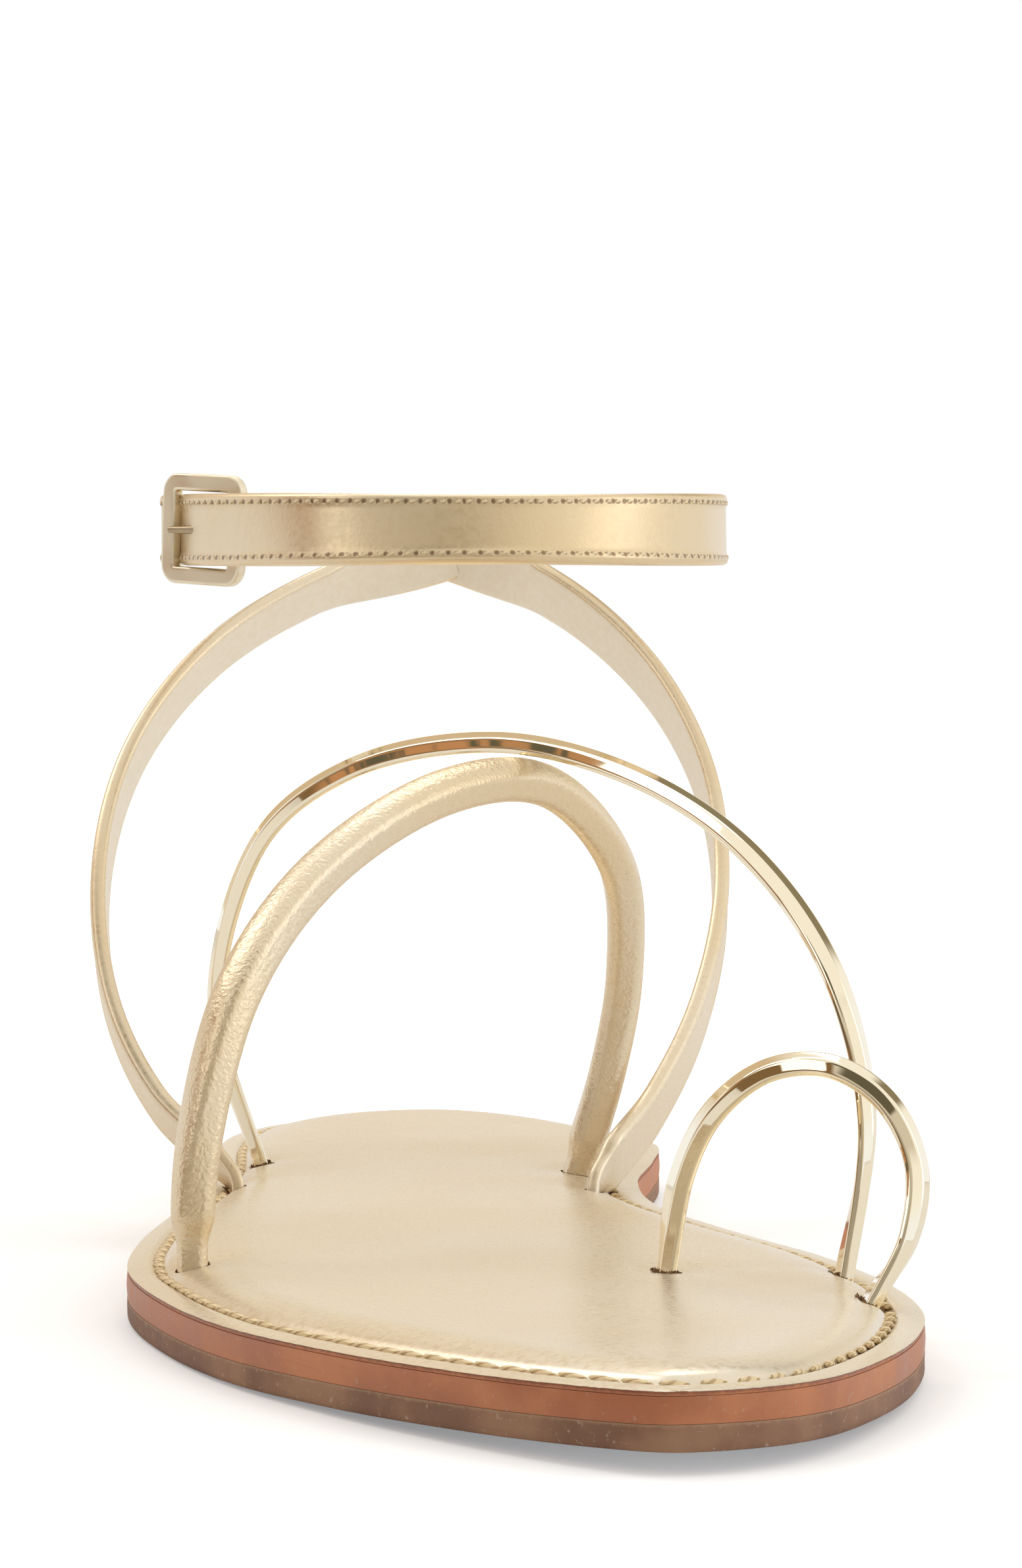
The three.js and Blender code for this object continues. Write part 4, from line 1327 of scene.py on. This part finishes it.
# %% Buckle frame
FRAME_BEVEL = 0.42
HOLD_INSET = 0.1
BUCKLE_SHARP = 50.0
bm = bmesh.new()
bmesh.ops.create_grid(bm, x_segments=1, y_segments=1, size=0.5)
bmesh.ops.scale(bm, vec=(FRAME_LENGTH, FRAME_HEIGHT, 1), verts=bm.verts)
bmesh.ops.bevel(
    bm, geom=list(bm.verts), offset=FRAME_CORNER, segments=8, profile=0.5, affect="VERTICES", material=-1)
opening = list(bm.faces)
bmesh.ops.inset_region(bm, faces=opening, thickness=FRAME_BAR, use_even_offset=True, use_boundary=True)
bmesh.ops.delete(bm, geom=opening, context="FACES_ONLY")
flat = list(bm.verts) + list(bm.edges) + list(bm.faces)
bmesh.ops.solidify(bm, geom=flat, thickness=FRAME_THICKNESS)
bmesh.ops.recalc_face_normals(bm, faces=bm.faces)
low = min(v.co.z for v in bm.verts)
bmesh.ops.translate(bm, vec=(0, 0, -low - FRAME_THICKNESS / 2), verts=bm.verts)
rims = [e for e in bm.edges if e.calc_face_angle(0.0) > math.radians(60)]
bmesh.ops.bevel(
    bm, geom=rims, offset=FRAME_BEVEL, segments=4, profile=0.5, affect="EDGES", material=-1,
    clamp_overlap=True)
# A narrow inset holds the broad faces flat when they are shaded smooth.
broad = [f for f in bm.faces if abs(f.normal.z) > 0.999]
bmesh.ops.inset_region(bm, faces=broad, thickness=HOLD_INSET, use_even_offset=True, use_boundary=True)
turn = Matrix((frame_along, Vector((0, 0, 1)), -frame_out)).transposed().to_4x4()
tilt = Matrix.Rotation(math.radians(FRAME_TILT), 4, "Z")
middle = Matrix.Translation((inner_bar + outer_bar) / 2)
bmesh.ops.transform(bm, matrix=middle @ turn @ tilt, verts=bm.verts)
finish_piece(bm, "buckle_frame_metal", [satin], "buckle_frame", BUCKLE_SHARP)

# %% Fold around the inner bar, and the prong
PRONG_RISE = BAR_RADIUS + FIT_GAP + PRONG_RADIUS
PRONG_REST = FRAME_THICKNESS / 2 + FIT_GAP + PRONG_RADIUS


def beside_bar(x, n):
    return inner_bar + frame_along * x + frame_out * n


prong_points = []
for degrees in range(-60, 91, 30):
    angle = math.radians(180 - degrees)
    prong_points.append(beside_bar(PRONG_RISE * math.cos(angle), PRONG_RISE * math.sin(angle)))
prong_points.append(beside_bar(BAR_PITCH * 0.5, (PRONG_RISE + PRONG_REST) / 2))
prong_points.append(beside_bar(BAR_PITCH - FRAME_BAR / 2 - FIT_GAP, PRONG_REST))


def prong_tip(run, length):
    share = 1 - 0.35 * ease((run - length * 0.5) / (length * 0.5))
    return (share, share)


def straight_up(point, tangent):
    return Vector((0, 0, 1))


PRONG_SIDES = 16
prong_angles = [2 * math.pi * i / PRONG_SIDES for i in range(PRONG_SIDES)]
prong_section = [(PRONG_RADIUS * math.cos(a), PRONG_RADIUS * math.sin(a)) for a in prong_angles]
# The prong wears the darker satin, a painted shade for the shadow inside the buckle frame.
strap("buckle_prong_metal", smooth_curve(prong_points), straight_up, 60, prong_section, [prong_shade_satin],
      "buckle_prong", BUCKLE_SHARP, prong_tip)

fold_height = BAND_WIDTH - HOLDER_TRIM
bm = bmesh.new()
bmesh.ops.create_circle(bm, segments=40, radius=FOLD_RADIUS)
bmesh.ops.translate(bm, vec=(0, 0, -fold_height / 2), verts=bm.verts)
made = bmesh.ops.extrude_edge_only(bm, edges=list(bm.edges))["geom"]
raised = [part for part in made if isinstance(part, bmesh.types.BMVert)]
bmesh.ops.translate(bm, vec=(0, 0, fold_height), verts=raised)
bmesh.ops.recalc_face_normals(bm, faces=bm.faces)
walls = list(bm.verts) + list(bm.edges) + list(bm.faces)
bmesh.ops.solidify(bm, geom=walls, thickness=FOLD_WALL)
bmesh.ops.translate(bm, vec=inner_bar, verts=bm.verts)
finish_piece(bm, "buckle_fold", [rear_leather], "ankle_strap", LEATHER_SHARP)

# %% [markdown]
# ## Torn edges at the slots
# A chisel cuts the slots, and the leather tears a little as the straps are pulled through. Small curled flakes
# stand around the slots of the toe ring and the instep bar.

# %% Flakes round the slots
def footbed_under(point):
    return footbed_height(point.x, point.y, share_along(point.y))


def flakes(bm, curve, outward, run_share, count, seed):
    chips = random.Random(seed)
    frames, _ = strap_frames(curve, outward, 60, None, *run_share)
    places = [matrix for matrix, _ in frames]
    matrix = min(places, key=lambda m: abs(m.translation.z - footbed_under(m.translation) + 0.3))
    for _ in range(count):
        x, y = chips.choice(metal_section)
        point = matrix @ Vector((x * chips.uniform(1.15, 1.35), y * chips.uniform(1.3, 1.7), 0))
        point.z = footbed_under(point) - 0.05
        lean = Vector((chips.uniform(-1, 1), chips.uniform(-1, 1), 0.7)).normalized()
        turn = lean.to_track_quat("Z", "X").to_matrix().to_4x4()
        tall = chips.uniform(0.35, 0.9)
        grow = Matrix.Diagonal((0.3, 0.14, tall, 1))
        bmesh.ops.create_cone(
            bm, segments=5, radius1=1.0, radius2=0.15, depth=1.0, cap_ends=True,
            matrix=Matrix.Translation(point) @ turn @ grow)


bm = bmesh.new()
flakes(bm, ring_curve, ring_out, (0.0, 0.2), 26, 1)
flakes(bm, ring_curve, ring_out, (0.8, 1.0), 34, 2)
flakes(bm, bar_curve, bar_out, (0.9, 1.0), 26, 3)
flakes(bm, bar_curve, bar_out, (0.0, 0.1), 18, 4)
finish_piece(bm, "slot_flakes", [torn], None, sharp=80.0)
